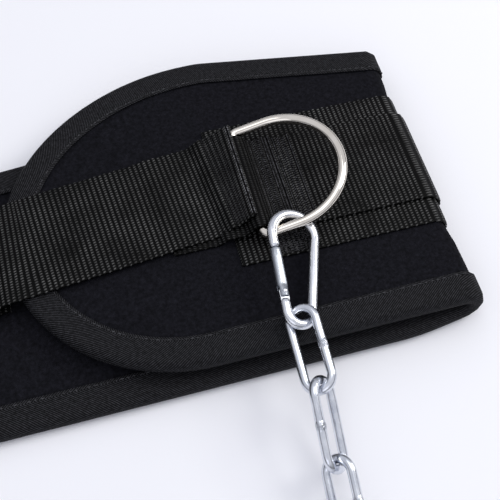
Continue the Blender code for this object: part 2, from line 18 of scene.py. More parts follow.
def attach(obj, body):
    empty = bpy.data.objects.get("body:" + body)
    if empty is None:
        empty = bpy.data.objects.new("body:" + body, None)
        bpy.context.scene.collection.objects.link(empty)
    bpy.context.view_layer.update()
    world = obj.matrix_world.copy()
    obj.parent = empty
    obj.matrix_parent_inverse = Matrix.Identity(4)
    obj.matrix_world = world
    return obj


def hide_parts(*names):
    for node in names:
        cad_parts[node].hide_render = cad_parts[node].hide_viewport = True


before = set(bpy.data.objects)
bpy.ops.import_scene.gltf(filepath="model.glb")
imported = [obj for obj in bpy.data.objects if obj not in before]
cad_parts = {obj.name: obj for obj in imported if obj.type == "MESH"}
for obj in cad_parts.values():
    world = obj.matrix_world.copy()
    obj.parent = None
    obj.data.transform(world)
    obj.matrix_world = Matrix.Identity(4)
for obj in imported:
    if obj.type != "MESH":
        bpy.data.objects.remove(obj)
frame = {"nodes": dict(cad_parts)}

LOG = logging.getLogger("dip_belt")
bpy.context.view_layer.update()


class Body(Enum):
    """The bodies of the CAD model that pieces ride on."""

    BELT = "belt"
    GATE = "gate"


class Held(Enum):
    FOLDED = "folded"
    LAID = "laid"
    STRETCHED = "stretched"


# Steps of the dome that ends a wire: share of the last ring's radius, height as a share of the wire
DOME_STEPS = ((0.86, 0.16), (0.78, 0.12), (0.5, 0.06))
# Points drawn on each span of a smooth curve
SPAN_STEPS = 24


# Small helpers

def ease(value: float, start: float, end: float) -> float:
    """Rises smoothly from 0 at start to 1 at end."""
    share = min(max((value - start) / (end - start), 0.0), 1.0)
    return share * share * (3 - 2 * share)


def blend(first: float, second: float, share: float) -> float:
    """Goes from first to second as share goes from 0 to 1."""
    return first + (second - first) * share


def linear(code: str) -> tuple[float, float, float, float]:
    """Turns an sRGB hex colour into Blender's linear colour.

    Args:
        code: Six hex digits with a leading hash sign.

    Returns:
        Red, green, blue and an alpha of 1.
    """
    shades = []
    for start in (1, 3, 5):
        value = int(code[start:start + 2], 16) / 255
        shades.append(value / 12.92 if value <= 0.04045 else ((value + 0.055) / 1.055) ** 2.4)
    return (*shades, 1.0)


def add_node(
    tree: bpy.types.NodeTree,
    kind: str,
    settings: dict | None = None,
    sockets: dict | None = None,
    links: dict | None = None,
) -> bpy.types.Node:
    """Adds a node with its settings, socket values and links.

    Args:
        tree: The material's or world's node tree.
        kind: Blender's name of the node type.
        settings: Attributes to set.
        sockets: Values of unlinked inputs, by name or number.
        links: Outputs to link to inputs, by name or number.

    Returns:
        The new node.
    """
    made = tree.nodes.new(kind)
    for name, value in (settings or {}).items():
        setattr(made, name, value)
    for name, value in (sockets or {}).items():
        made.inputs[name].default_value = value
    for name, output in (links or {}).items():
        tree.links.new(output, made.inputs[name])
    return made


def deselect_all() -> None:
    """Leaves edit mode and deselects everything."""
    if bpy.context.object is not None and bpy.context.object.mode != "OBJECT":
        bpy.ops.object.mode_set(mode="OBJECT")
    bpy.ops.object.select_all(action="DESELECT")


def pick(piece: bpy.types.Object) -> None:
    """Makes a piece the only selected one, and active."""
    deselect_all()
    piece.select_set(True)
    bpy.context.view_layer.objects.active = piece


def apply_all(piece: bpy.types.Object) -> None:
    """Applies every modifier of a piece, in order."""
    pick(piece)
    for modifier in list(piece.modifiers):
        bpy.ops.object.modifier_apply(modifier=modifier.name)


def smooth(piece: bpy.types.Object, degrees: float = 40) -> None:
    """Shades a piece smooth, with edges past an angle left sharp."""
    pick(piece)
    bpy.ops.object.shade_smooth_by_angle(angle=math.radians(degrees))


def seat(piece: bpy.types.Object, body: Body, nodes: Sequence[str] = ()) -> None:
    """Lets a piece ride on a body and hides the CAD nodes that it replaces."""
    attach(piece, body.value)
    if nodes:
        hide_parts(*nodes)


def side_word(side: int) -> str:
    """The word for a side, as the CAD model names it."""
    return "right" if side > 0 else "left"


def flat_layer(mesh: bpy.types.Mesh) -> bpy.types.MeshUVLoopLayer:
    """The mesh's one UV map, under the name that the materials use."""
    layer = mesh.uv_layers.active or mesh.uv_layers.new(name="flat")
    layer.name = "flat"
    return layer


def map_from_above(piece: bpy.types.Object) -> None:
    """Draws a plain UV map from above, in metres."""
    layer = flat_layer(piece.data)
    for loop in piece.data.loops:
        spot = piece.data.vertices[loop.vertex_index].co
        layer.data[loop.index].uv = (spot.x + spot.z, spot.y)


def extrude_dome(spot: Vector, ahead: Vector, wire: float) -> None:
    """Extrudes the selected ring into a small dome and closes it.

    Args:
        spot: The ring's centre.
        ahead: Unit vector that the dome points along.
        wire: Thickness of the wire.
    """
    for share, depth in DOME_STEPS:
        move = ahead * wire * depth
        spot = spot + move
        bpy.ops.mesh.extrude_region_move(TRANSFORM_OT_translate={"value": tuple(move)})
        bpy.ops.transform.resize(value=(share, share, share), center_override=tuple(spot))
    bpy.ops.mesh.edge_face_add()


def even_steps(start: float, end: float, spacing: float) -> list[float]:
    """Values from start to end, close to a spacing apart, with both ends."""
    count = max(1, round(abs(end - start) / spacing))
    return [blend(start, end, step / count) for step in range(count + 1)]


# Finishes

@dataclass(frozen=True)
class KnitNeoprene:
    """Foam rubber faced with a fine nylon knit: the eye sees a soft bluish black with a faint grain."""

    name: str = "neoprene_nylon_knit"
    face: str = "#0A0A0D"
    grain: str = "#1D1D23"
    grain_size: float = 0.0011
    cloud_size: float = 0.0021

    def material(self) -> bpy.types.Material:
        """Makes the material; real knit loops are 0.4 mm, drawn at 1.1 mm so that they show."""
        material = bpy.data.materials.new(self.name)
        material.use_nodes = True
        tree = material.node_tree
        shader = tree.nodes["Principled BSDF"]
        where = add_node(tree, "ShaderNodeTexCoord").outputs["Object"]
        grain = add_node(tree, "ShaderNodeTexNoise", None,
                         {"Scale": 1 / self.grain_size, "Detail": 3.0, "Roughness": 0.65}, {"Vector": where})
        cloud = add_node(tree, "ShaderNodeTexNoise", None,
                         {"Scale": 1 / self.cloud_size, "Detail": 2.0}, {"Vector": where})
        both = add_node(tree, "ShaderNodeMath", {"operation": "MULTIPLY"}, None,
                        {0: grain.outputs["Fac"], 1: cloud.outputs["Fac"]})
        share = add_node(tree, "ShaderNodeMapRange", None,
                         {"From Min": 0.08, "From Max": 0.46}, {"Value": both.outputs[0]})
        tint = add_node(tree, "ShaderNodeMix", {"data_type": "RGBA"},
                        {6: linear(self.face), 7: linear(self.grain)}, {0: share.outputs[0]})
        tree.links.new(tint.outputs[2], shader.inputs["Base Color"])
        bump = add_node(tree, "ShaderNodeBump", None, {"Strength": 0.35, "Distance": 0.0003},
                        {"Height": grain.outputs["Fac"]})
        tree.links.new(bump.outputs[0], shader.inputs["Normal"])
        shader.inputs["Roughness"].default_value = 0.82
        shader.inputs["Specular IOR Level"].default_value = 0.05
        return material


@dataclass(frozen=True)
class RibbedWebbing:
    """Heavy black nylon webbing with its ribs in relief; its colour carries painted light: a painted
    highlight on the twisted thread crests and painted shade in the valleys between them.
    """

    name: str
    rib_pitch: float = 0.00235
    thread_pitch: float = 0.00130
    lean_per_rib: float = 0.5
    # Painted shade in the valleys between the ribs.
    valley_painted_shade: str = "#010101"
    # Painted highlight on the thread crests; the nylon itself is black.
    thread: str = "#656564"
    gloss: float = 0.5
    # Fine and coarse noise that vary the painted highlight's strength at random.
    highlight_speckle_scale: float = 820.0
    patch_scale: float = 55.0

    def material(self) -> bpy.types.Material:
        """Makes the material from the sheet's flat UV map, which is in metres."""
        material = bpy.data.materials.new(self.name)
        material.use_nodes = True
        tree = material.node_tree
        shader = tree.nodes["Principled BSDF"]
        flat = add_node(tree, "ShaderNodeUVMap", {"uv_map": "flat"}).outputs[0]
        parts = add_node(tree, "ShaderNodeSeparateXYZ", None, None, {0: flat})
        along, across = parts.outputs[0], parts.outputs[1]
        wave = add_node(tree, "ShaderNodeMath", {"operation": "MULTIPLY"},
                        {1: 2 * math.pi / self.rib_pitch}, {0: along})
        crest = add_node(tree, "ShaderNodeMath", {"operation": "COSINE"}, None, {0: wave.outputs[0]})
        rib = add_node(tree, "ShaderNodeMapRange", None,
                       {"From Min": -0.15, "From Max": 1.0}, {"Value": crest.outputs[0]})
        lean = add_node(tree, "ShaderNodeMath", {"operation": "MULTIPLY"},
                        {1: self.lean_per_rib}, {0: wave.outputs[0]})
        twist = add_node(tree, "ShaderNodeMath", {"operation": "MULTIPLY_ADD"},
                         {1: 2 * math.pi / self.thread_pitch}, {0: across, 2: lean.outputs[0]})
        swell = add_node(tree, "ShaderNodeMath", {"operation": "SINE"}, None, {0: twist.outputs[0]})
        bead = add_node(tree, "ShaderNodeMapRange", None,
                        {"From Min": -0.3, "From Max": 1.0, "To Min": 0.06}, {"Value": swell.outputs[0]})
        height = add_node(tree, "ShaderNodeMath", {"operation": "MULTIPLY"}, None,
                          {0: rib.outputs[0], 1: bead.outputs[0]})
        highlight_speckle = add_node(tree, "ShaderNodeTexNoise", None,
                        {"Scale": self.highlight_speckle_scale, "Detail": 2.0, "Roughness": 0.7}, {"Vector": flat})
        patch = add_node(tree, "ShaderNodeTexNoise", None,
                         {"Scale": self.patch_scale, "Detail": 2.0}, {"Vector": flat})
        mixed = add_node(tree, "ShaderNodeMath", {"operation": "MULTIPLY"}, None,
                         {0: highlight_speckle.outputs["Fac"], 1: patch.outputs["Fac"]})
        lift = add_node(tree, "ShaderNodeMapRange", None,
                        {"From Min": 0.1, "From Max": 0.42, "To Min": 0.12, "To Max": 1.35},
                        {"Value": mixed.outputs[0]})
        # Strength of the painted highlight: relief height, lifted or dimmed at random.
        light = add_node(tree, "ShaderNodeMath", {"operation": "MULTIPLY"}, None,
                         {0: height.outputs[0], 1: lift.outputs[0]})
        # Painted light: from painted shade in the valleys to painted highlight on the crests.
        tint = add_node(tree, "ShaderNodeMix", {"data_type": "RGBA"},
                        {6: linear(self.valley_painted_shade), 7: linear(self.thread)}, {0: light.outputs[0]})
        tree.links.new(tint.outputs[2], shader.inputs["Base Color"])
        bump = add_node(tree, "ShaderNodeBump", None,
                        {"Strength": 0.7, "Distance": 0.0003}, {"Height": height.outputs[0]})
        tree.links.new(bump.outputs[0], shader.inputs["Normal"])
        shader.inputs["Roughness"].default_value = self.gloss
        shader.inputs["Specular IOR Level"].default_value = 0.07
        return material


@dataclass(frozen=True)
class TwillTape:
    """Woven black edge tape: fine diagonal lines that meet in a chevron along the folded edge, coloured with
    a painted highlight on the raised lines and painted shade in the grooves.
    """

    name: str = "twill_binding_tape"
    line_pitch: float = 0.0013
    # The tape's black, darkened as painted shade in the grooves.
    groove_painted_shade: str = "#040405"
    # Painted highlight on the raised twill lines.
    line: str = "#3F3F43"
    chevron_half: float = 0.0135
    diagonal: float = 1.25
    fuzz_scale: float = 700.0

    def material(self) -> bpy.types.Material:
        """Makes the material from the tape's flat UV map, which is in metres."""
        material = bpy.data.materials.new(self.name)
        material.use_nodes = True
        tree = material.node_tree
        shader = tree.nodes["Principled BSDF"]
        flat = add_node(tree, "ShaderNodeUVMap", {"uv_map": "flat"}).outputs[0]
        parts = add_node(tree, "ShaderNodeSeparateXYZ", None, None, {0: flat})
        stripes = add_node(tree, "ShaderNodeMath", {"operation": "PINGPONG"},
                           {1: self.chevron_half}, {0: parts.outputs[1]})
        diagonal = add_node(tree, "ShaderNodeMath", {"operation": "MULTIPLY_ADD"},
                            {1: self.diagonal}, {0: stripes.outputs[0], 2: parts.outputs[0]})
        wave = add_node(tree, "ShaderNodeMath", {"operation": "MULTIPLY"},
                        {1: 2 * math.pi / self.line_pitch}, {0: diagonal.outputs[0]})
        crest = add_node(tree, "ShaderNodeMath", {"operation": "SINE"}, None, {0: wave.outputs[0]})
        line = add_node(tree, "ShaderNodeMapRange", None,
                        {"From Min": -0.35, "From Max": 1.0}, {"Value": crest.outputs[0]})
        fuzz = add_node(tree, "ShaderNodeTexNoise", None,
                        {"Scale": self.fuzz_scale, "Detail": 2.0}, {"Vector": flat})
        patch = add_node(tree, "ShaderNodeMapRange", None,
                         {"From Min": 0.3, "From Max": 0.7, "To Min": 0.22}, {"Value": fuzz.outputs["Fac"]})
        height = add_node(tree, "ShaderNodeMath", {"operation": "MULTIPLY"}, None,
                          {0: line.outputs[0], 1: patch.outputs[0]})
        # Painted light: from groove shade to line highlight by the lines' relief height.
        tint = add_node(tree, "ShaderNodeMix", {"data_type": "RGBA"},
                        {6: linear(self.groove_painted_shade), 7: linear(self.line)}, {0: height.outputs[0]})
        tree.links.new(tint.outputs[2], shader.inputs["Base Color"])
        bump = add_node(tree, "ShaderNodeBump", None,
                        {"Strength": 0.5, "Distance": 0.0002}, {"Height": height.outputs[0]})
        tree.links.new(bump.outputs[0], shader.inputs["Normal"])
        shader.inputs["Roughness"].default_value = 0.72
        shader.inputs["Specular IOR Level"].default_value = 0.1
        return material


@dataclass(frozen=True)
class Thread:
    """Bonded polyester sewing thread, a little lighter than the cloth."""

    name: str
    colour: str = "#48484B"
    shade: str = "#121214"
    ply_scale: float = 900.0

    def material(self) -> bpy.types.Material:
        """Makes the material, with a fine twist across the thread."""
        material = bpy.data.materials.new(self.name)
        material.use_nodes = True
        tree = material.node_tree
        shader = tree.nodes["Principled BSDF"]
        where = add_node(tree, "ShaderNodeTexCoord").outputs["Object"]
        ply = add_node(tree, "ShaderNodeTexNoise", None,
                       {"Scale": self.ply_scale, "Detail": 1.0}, {"Vector": where})
        share = add_node(tree, "ShaderNodeMapRange", None,
                         {"From Min": 0.35, "From Max": 0.65}, {"Value": ply.outputs["Fac"]})
        tint = add_node(tree, "ShaderNodeMix", {"data_type": "RGBA"},
                        {6: linear(self.shade), 7: linear(self.colour)}, {0: share.outputs[0]})
        tree.links.new(tint.outputs[2], shader.inputs["Base Color"])
        shader.inputs["Roughness"].default_value = 0.55
        shader.inputs["Specular IOR Level"].default_value = 0.15
        return material


@dataclass(frozen=True)
class PlatedSteel:
    """Plated steel wire: clear reflections broken by drawn streaks along the wire."""

    name: str
    bright: str
    dull: str
    roughness: tuple[float, float]
    streak: float
    weld_at: float | None = None
    weld_colour: str = "#8F939B"
    lump_scale: float = 1500.0
    cloud_scale: float = 160.0
    drawn_scale: tuple[float, float, float] = (1700.0, 90.0, 1.0)

    def material(self) -> bpy.types.Material:
        """Makes the material from the wire's UV map: round the wire and along it, in metres."""
        material = bpy.data.materials.new(self.name)
        material.use_nodes = True
        tree = material.node_tree
        shader = tree.nodes["Principled BSDF"]
        flat = add_node(tree, "ShaderNodeUVMap", {"uv_map": "flat"}).outputs[0]
        drawn = add_node(tree, "ShaderNodeMapping", None, {"Scale": self.drawn_scale}, {"Vector": flat})
        streak = add_node(tree, "ShaderNodeTexNoise", None, {"Scale": 1.0, "Detail": 3.0, "Roughness": 0.6},
                          {"Vector": drawn.outputs[0]})
        where = add_node(tree, "ShaderNodeTexCoord").outputs["Object"]
        cloud = add_node(tree, "ShaderNodeTexNoise", None,
                         {"Scale": self.cloud_scale, "Detail": 3.0}, {"Vector": where})
        tint = add_node(tree, "ShaderNodeMix", {"data_type": "RGBA"},
                        {6: linear(self.dull), 7: linear(self.bright)}, {0: cloud.outputs["Fac"]})
        smoothest, roughest = self.roughness
        rough = add_node(tree, "ShaderNodeMapRange", None,
                         {"From Min": 0.3, "From Max": 0.7, "To Min": smoothest, "To Max": roughest},
                         {"Value": streak.outputs["Fac"]})
        bump = add_node(tree, "ShaderNodeBump", None, {"Strength": self.streak, "Distance": 0.00006},
                        {"Height": streak.outputs["Fac"]})
        shader.inputs["Metallic"].default_value = 1.0
        colour, relief = tint.outputs[2], bump.outputs[0]
        if self.weld_at is not None:
            parts = add_node(tree, "ShaderNodeSeparateXYZ", None, None, {0: flat})
            off = add_node(tree, "ShaderNodeMath", {"operation": "SUBTRACT"},
                           {1: self.weld_at}, {0: parts.outputs[1]})
            away = add_node(tree, "ShaderNodeMath", {"operation": "ABSOLUTE"}, None, {0: off.outputs[0]})
            mask = add_node(tree, "ShaderNodeMapRange", {"interpolation_type": "SMOOTHSTEP"},
                            {"From Min": 0.0009, "From Max": 0.0022, "To Min": 1.0, "To Max": 0.0},
                            {"Value": away.outputs[0]})
            lumps = add_node(tree, "ShaderNodeTexNoise", None,
                             {"Scale": self.lump_scale, "Detail": 2.0}, {"Vector": where})
            rugged = add_node(tree, "ShaderNodeMath", {"operation": "MULTIPLY"}, None,
                              {0: lumps.outputs["Fac"], 1: mask.outputs[0]})
            weld = add_node(tree, "ShaderNodeBump", None, {"Strength": 0.7, "Distance": 0.0004},
                            {"Height": rugged.outputs[0], "Normal": relief})
            burnt = add_node(tree, "ShaderNodeMix", {"data_type": "RGBA"},
                             {7: linear(self.weld_colour)}, {0: rugged.outputs[0], 6: colour})
            colour, relief = burnt.outputs[2], weld.outputs[0]
        tree.links.new(colour, shader.inputs["Base Color"])
        tree.links.new(rough.outputs[0], shader.inputs["Roughness"])
        tree.links.new(relief, shader.inputs["Normal"])
        return material


# The belt's surface, from the same sizes as the CAD model

@dataclass(frozen=True)
class BeltForm:
    """Named sizes of the folded pad, and the surface that every cloth layer follows."""

    gap: float = 0.0003
    pad_thickness: float = 0.005
    near_half_width_back: float = 0.0812
    near_half_width_front: float = 0.0767
    far_half_width: float = 0.0796
    far_half_width_fold: float = 0.0671
    far_half_width_middle: float = 0.0452
    far_widening_length: float = 0.0825
    tip_length: float = 0.078
    far_tip_length: float = 0.103
    tip_centre_y: float = -0.002
    tip_gap: float = 0.050
    tip_to_fold: float = 0.1895
    fold_radius: float = 0.0052
    edge_drop: float = 0.0019
    tip_drop: float = 0.0024
    webbing_bed: float = 0.0014
    edge_ease_width: float = 0.038
    binding_width: float = 0.012
    binding_thickness: float = 0.001
    webbing_thickness: float = 0.0014
    wide_width: float = 0.075
    narrow_width: float = 0.050
    back_sway: float = 0.0075
    ring_from_tip: float = 0.111
    wide_past_ring: float = 0.0122
    raised_past_ring: float = 0.0105
    tab_before_ring: float = 0.0175
    tab_past_ring: float = 0.040
    ring_wire: float = 0.0046
    ring_seat: float = 0.0013
    near_narrowing: float = 0.15
    tip_drop_span: tuple[float, float] = (0.55, 0.97)
    bed_ease: float = 0.2
    step_walls: float = 1.5
    slope_walls: float = 4.0
    spacing: float = 0.0035
    fold_steps: int = 14
    tip_steps: int = 30

    @property
    def pad_height(self) -> float:
        """Height of the back layer's middle line."""
        return self.pad_thickness / 2 + 2 * (self.gap + self.webbing_thickness)

    @property
    def front_height(self) -> float:
        """Height of the front layer's middle line."""
        return self.pad_height + 2 * self.fold_radius

    @property
    def fold_x(self) -> float:
        """X at which the fold starts."""
        return self.tip_gap / 2 + self.tip_to_fold

    @property
    def fold_arc(self) -> float:
        """Length of the pad's middle line round the fold."""
        return math.pi * self.fold_radius

    @property
    def half_length(self) -> float:
        """Length of the pad's middle line from the back's middle to a tip."""
        return self.fold_x + self.fold_arc + self.tip_to_fold

    @property
    def ring_x(self) -> float:
        """X of the right D-ring's bar."""
        return self.tip_gap / 2 + self.ring_from_tip

    @property
    def wide_offset(self) -> float:
        """Offset of the wide webbing's middle from the pad's middle."""
        return self.pad_thickness / 2 + self.gap + self.webbing_thickness / 2

    @property
    def raised_offset(self) -> float:
        """Offset of the raised webbing's middle from the pad's middle."""
        return self.wide_offset + self.webbing_thickness + self.gap

    @property
    def ring_height(self) -> float:
        """Height of the ring bar's middle."""
        return self.front_height + self.pad_height + self.gap + self.ring_seat + self.ring_wire / 2

    @property
    def step_end(self) -> float:
        """Distance from the ring's bar at which a strip starts down from the raised webbing."""
        return self.wide_past_ring + self.step_walls * self.webbing_thickness

    @property
    def slope(self) -> float:
        """Length over which a strip comes down to the next layer."""
        return self.slope_walls * self.webbing_thickness

    def middle_line(self, run: float) -> tuple[float, float, float, float]:
        """Point and outward normal of the pad's middle line in the XZ plane."""
        if run <= self.fold_x:
            return run, self.pad_height, 0.0, -1.0
        if run >= self.fold_x + self.fold_arc:
            return self.fold_x - (run - self.fold_x - self.fold_arc), self.front_height, 0.0, 1.0
        angle = (run - self.fold_x) / self.fold_radius
        x = self.fold_x + self.fold_radius * math.sin(angle)
        z = self.pad_height + self.fold_radius * (1 - math.cos(angle))
        return x, z, math.sin(angle), -math.cos(angle)

    def tip_share(self, run: float, length: float) -> float:
        """Share of the full width that the rounded tip leaves."""
        from_tip = self.half_length - run
        if from_tip >= length:
            return 1.0
        return math.sqrt(max(1 - (1 - from_tip / length) ** 2, 0.0))

    def near_edge(self, run: float) -> float:
        """Y of the pad's near edge."""
        start = self.fold_x - self.near_narrowing * self.tip_to_fold
        front = ease(run, start, self.fold_x + self.fold_arc)
        half_width = blend(self.near_half_width_back, self.near_half_width_front, front)
        return blend(self.tip_centre_y, -half_width, self.tip_share(run, self.tip_length))

    def far_edge(self, run: float) -> float:
        """Y of the pad's far edge."""
        back = ease(run, 0.0, self.fold_x)
        half_width = blend(self.far_half_width_middle, self.far_half_width_fold, back)
        past_fold = min(max(run - self.fold_x - self.fold_arc, 0.0) / self.far_widening_length, 1.0)
        half_width += (self.far_half_width - self.far_half_width_fold) * past_fold
        return blend(self.tip_centre_y, half_width, self.tip_share(run, self.far_tip_length))

    def shift(self, run: float, y: float) -> float:
        """How far the pad's middle surface is pushed outward from its plain line."""
        side = abs(y)
        past_webbing = self.wide_width / 2 + 3 * self.gap
        back = self.edge_drop * ease(side, past_webbing, past_webbing + self.edge_ease_width)
        from_fold = run - self.fold_x - self.fold_arc
        start, end = self.tip_drop_span
        front = -self.tip_drop * ease(from_fold, start * self.tip_to_fold, end * self.tip_to_fold)
        share = min(max((run - self.fold_x) / self.fold_arc, 0.0), 1.0)
        bed = 1 - ease(side, past_webbing, past_webbing + self.bed_ease * self.edge_ease_width)
        return blend(back, front, share) - self.webbing_bed * bed * math.sin(math.pi * share)

    def point(self, run: float, y: float) -> Vector:
        """Point of the pad's middle surface; a negative run is on the left half."""
        x, z, normal_x, normal_z = self.middle_line(abs(run))
        shift = self.shift(abs(run), y)
        side = -1 if run < 0 else 1
        return Vector((side * (x + normal_x * shift), y, z + normal_z * shift))

    def normal(self, run: float, y: float) -> Vector:
        """Outward normal of the pad's middle surface."""
        step = 0.0004
        along = self.point(run + step, y) - self.point(run - step, y)
        across = self.point(run, y + step) - self.point(run, y - step)
        return across.cross(along).normalized()

    def off(self, run: float, y: float, offset: float) -> Vector:
        """Point at an offset along the outward normal."""
        return self.point(run, y) + offset * self.normal(run, y)

    def run_at(self, x: float) -> float:
        """Run of a point on the right front portion, from its X."""
        return self.fold_x + self.fold_arc + (self.fold_x - x)

    def stations(self) -> list[float]:
        """Runs from tip to tip, close enough to draw the folds and the tips round."""
        back = even_steps(0.0, self.fold_x, 2 * self.spacing)
        fold = even_steps(self.fold_x, self.fold_x + self.fold_arc, self.fold_arc / self.fold_steps)
        tip_start = self.half_length - self.tip_length
        front = even_steps(self.fold_x + self.fold_arc, tip_start, self.spacing)
        count = self.tip_steps
        turns = [math.radians(blend(90, 3, step / count)) for step in range(1, count + 1)]
        tip = [self.half_length - self.tip_length * (1 - math.cos(turn)) for turn in turns]
        half = back + fold[1:] + front[1:] + tip
        return [-run for run in reversed(half[1:])] + half


# Sheets

@dataclass(frozen=True)
class SheetSize:
    """How a sheet is cut and made into a wall."""

    thickness: float
    edge_share: float = 1.0
    sharp_degrees: float = 42.0


def lay_sheet(
    name: str,
    lengths: Sequence[float],
    shares: Sequence[float],
    place: Callable[[float, float], Vector],
    flat: Callable[[float, float], tuple[float, float]],
    size: SheetSize,
    material: bpy.types.Material,
    weight: Callable[[float, float], float] | None = None,
) -> bpy.types.Object:
    """Lays a flat grid over a surface and gives it the wall's thickness.

    Args:
        name: The piece's name.
        lengths: Stations along the sheet.
        shares: Places across it, from 0 to 1.
        place: Gives the point of a station and a place across.
        flat: Gives the flat position of the same, in metres, for the weave.
        size: Thickness of the wall and of its edges.
        material: The cloth's material.
        weight: Gives the share of full thickness, from 0 at an edge to 1 inside.

    Returns:
        The finished piece.
    """
    deselect_all()
    last_length, last_share = len(lengths) - 1, len(shares) - 1
    bpy.ops.mesh.primitive_grid_add(x_subdivisions=last_length, y_subdivisions=last_share, size=2)
    piece = bpy.context.active_object
    piece.name = name
    mesh = piece.data
    mesh.name = name
    spots = []
    for vertex in mesh.vertices:
        column = round((vertex.co.x + 1) / 2 * last_length)
        row = round((vertex.co.y + 1) / 2 * last_share)
        spots.append((lengths[column], shares[row]))
    points = [place(*spot) for spot in spots]
    mesh.vertices.foreach_set("co", [value for point in points for value in point])
    layer = flat_layer(mesh)
    drawn = [flat(*spot) for spot in spots]
    for loop in mesh.loops:
        layer.data[loop.index].uv = drawn[loop.vertex_index]
    wall = piece.modifiers.new("wall", "SOLIDIFY")
    wall.thickness = size.thickness
    wall.offset = 0
    wall.use_even_offset = True
    if weight is not None:
        group = piece.vertex_groups.new(name="wall")
        for index, spot in enumerate(spots):
            group.add([index], weight(*spot), "REPLACE")
        wall.vertex_group = "wall"
        wall.thickness_vertex_group = size.edge_share
    mesh.materials.append(material)
    apply_all(piece)
    smooth(piece, size.sharp_degrees)
    return piece


def even_shares(count: int) -> list[float]:
    """Places across a sheet, closer together towards its edges."""
    return [0.5 - 0.5 * math.cos(math.pi * step / count) for step in range(count + 1)]


@dataclass(frozen=True)
class Pad:
    """The neoprene wall: folded over at both ends, with round tips."""

    form: BeltForm
    columns: int = 34
    tuck: float = 0.0009
    edge_share: float = 0.55
    edge_fade: float = 0.0075

    def edges(self, run: float) -> tuple[float, float]:
        """Y of the two edges, tucked a little into the binding."""
        near, far = self.form.near_edge(abs(run)), self.form.far_edge(abs(run))
        tuck = min(self.tuck, 0.2 * (far - near))
        return near + tuck, far - tuck

    def build(self, material: bpy.types.Material) -> bpy.types.Object:
        """Lays the wall along the belt's surface."""
        form = self.form

        def at(run: float, share: float) -> float:
            """Y at a share of the way across."""
            return blend(*self.edges(run), share)

        def weight(run: float, share: float) -> float:
            """Thickness share: the wall is thinner at its edge, in the binding."""
            near, far = self.edges(run)
            inside = min(at(run, share) - near, far - at(run, share), form.half_length - abs(run))
            return ease(inside, 0.0, self.edge_fade)

        piece = lay_sheet(
            "neoprene_pad", form.stations(), even_shares(self.columns),
            lambda run, share: form.point(run, at(run, share)),
            lambda run, share: (run, at(run, share)),
            SheetSize(form.pad_thickness, self.edge_share), material, weight,
        )
        seat(piece, Body.BELT, ["pad"])
        return piece


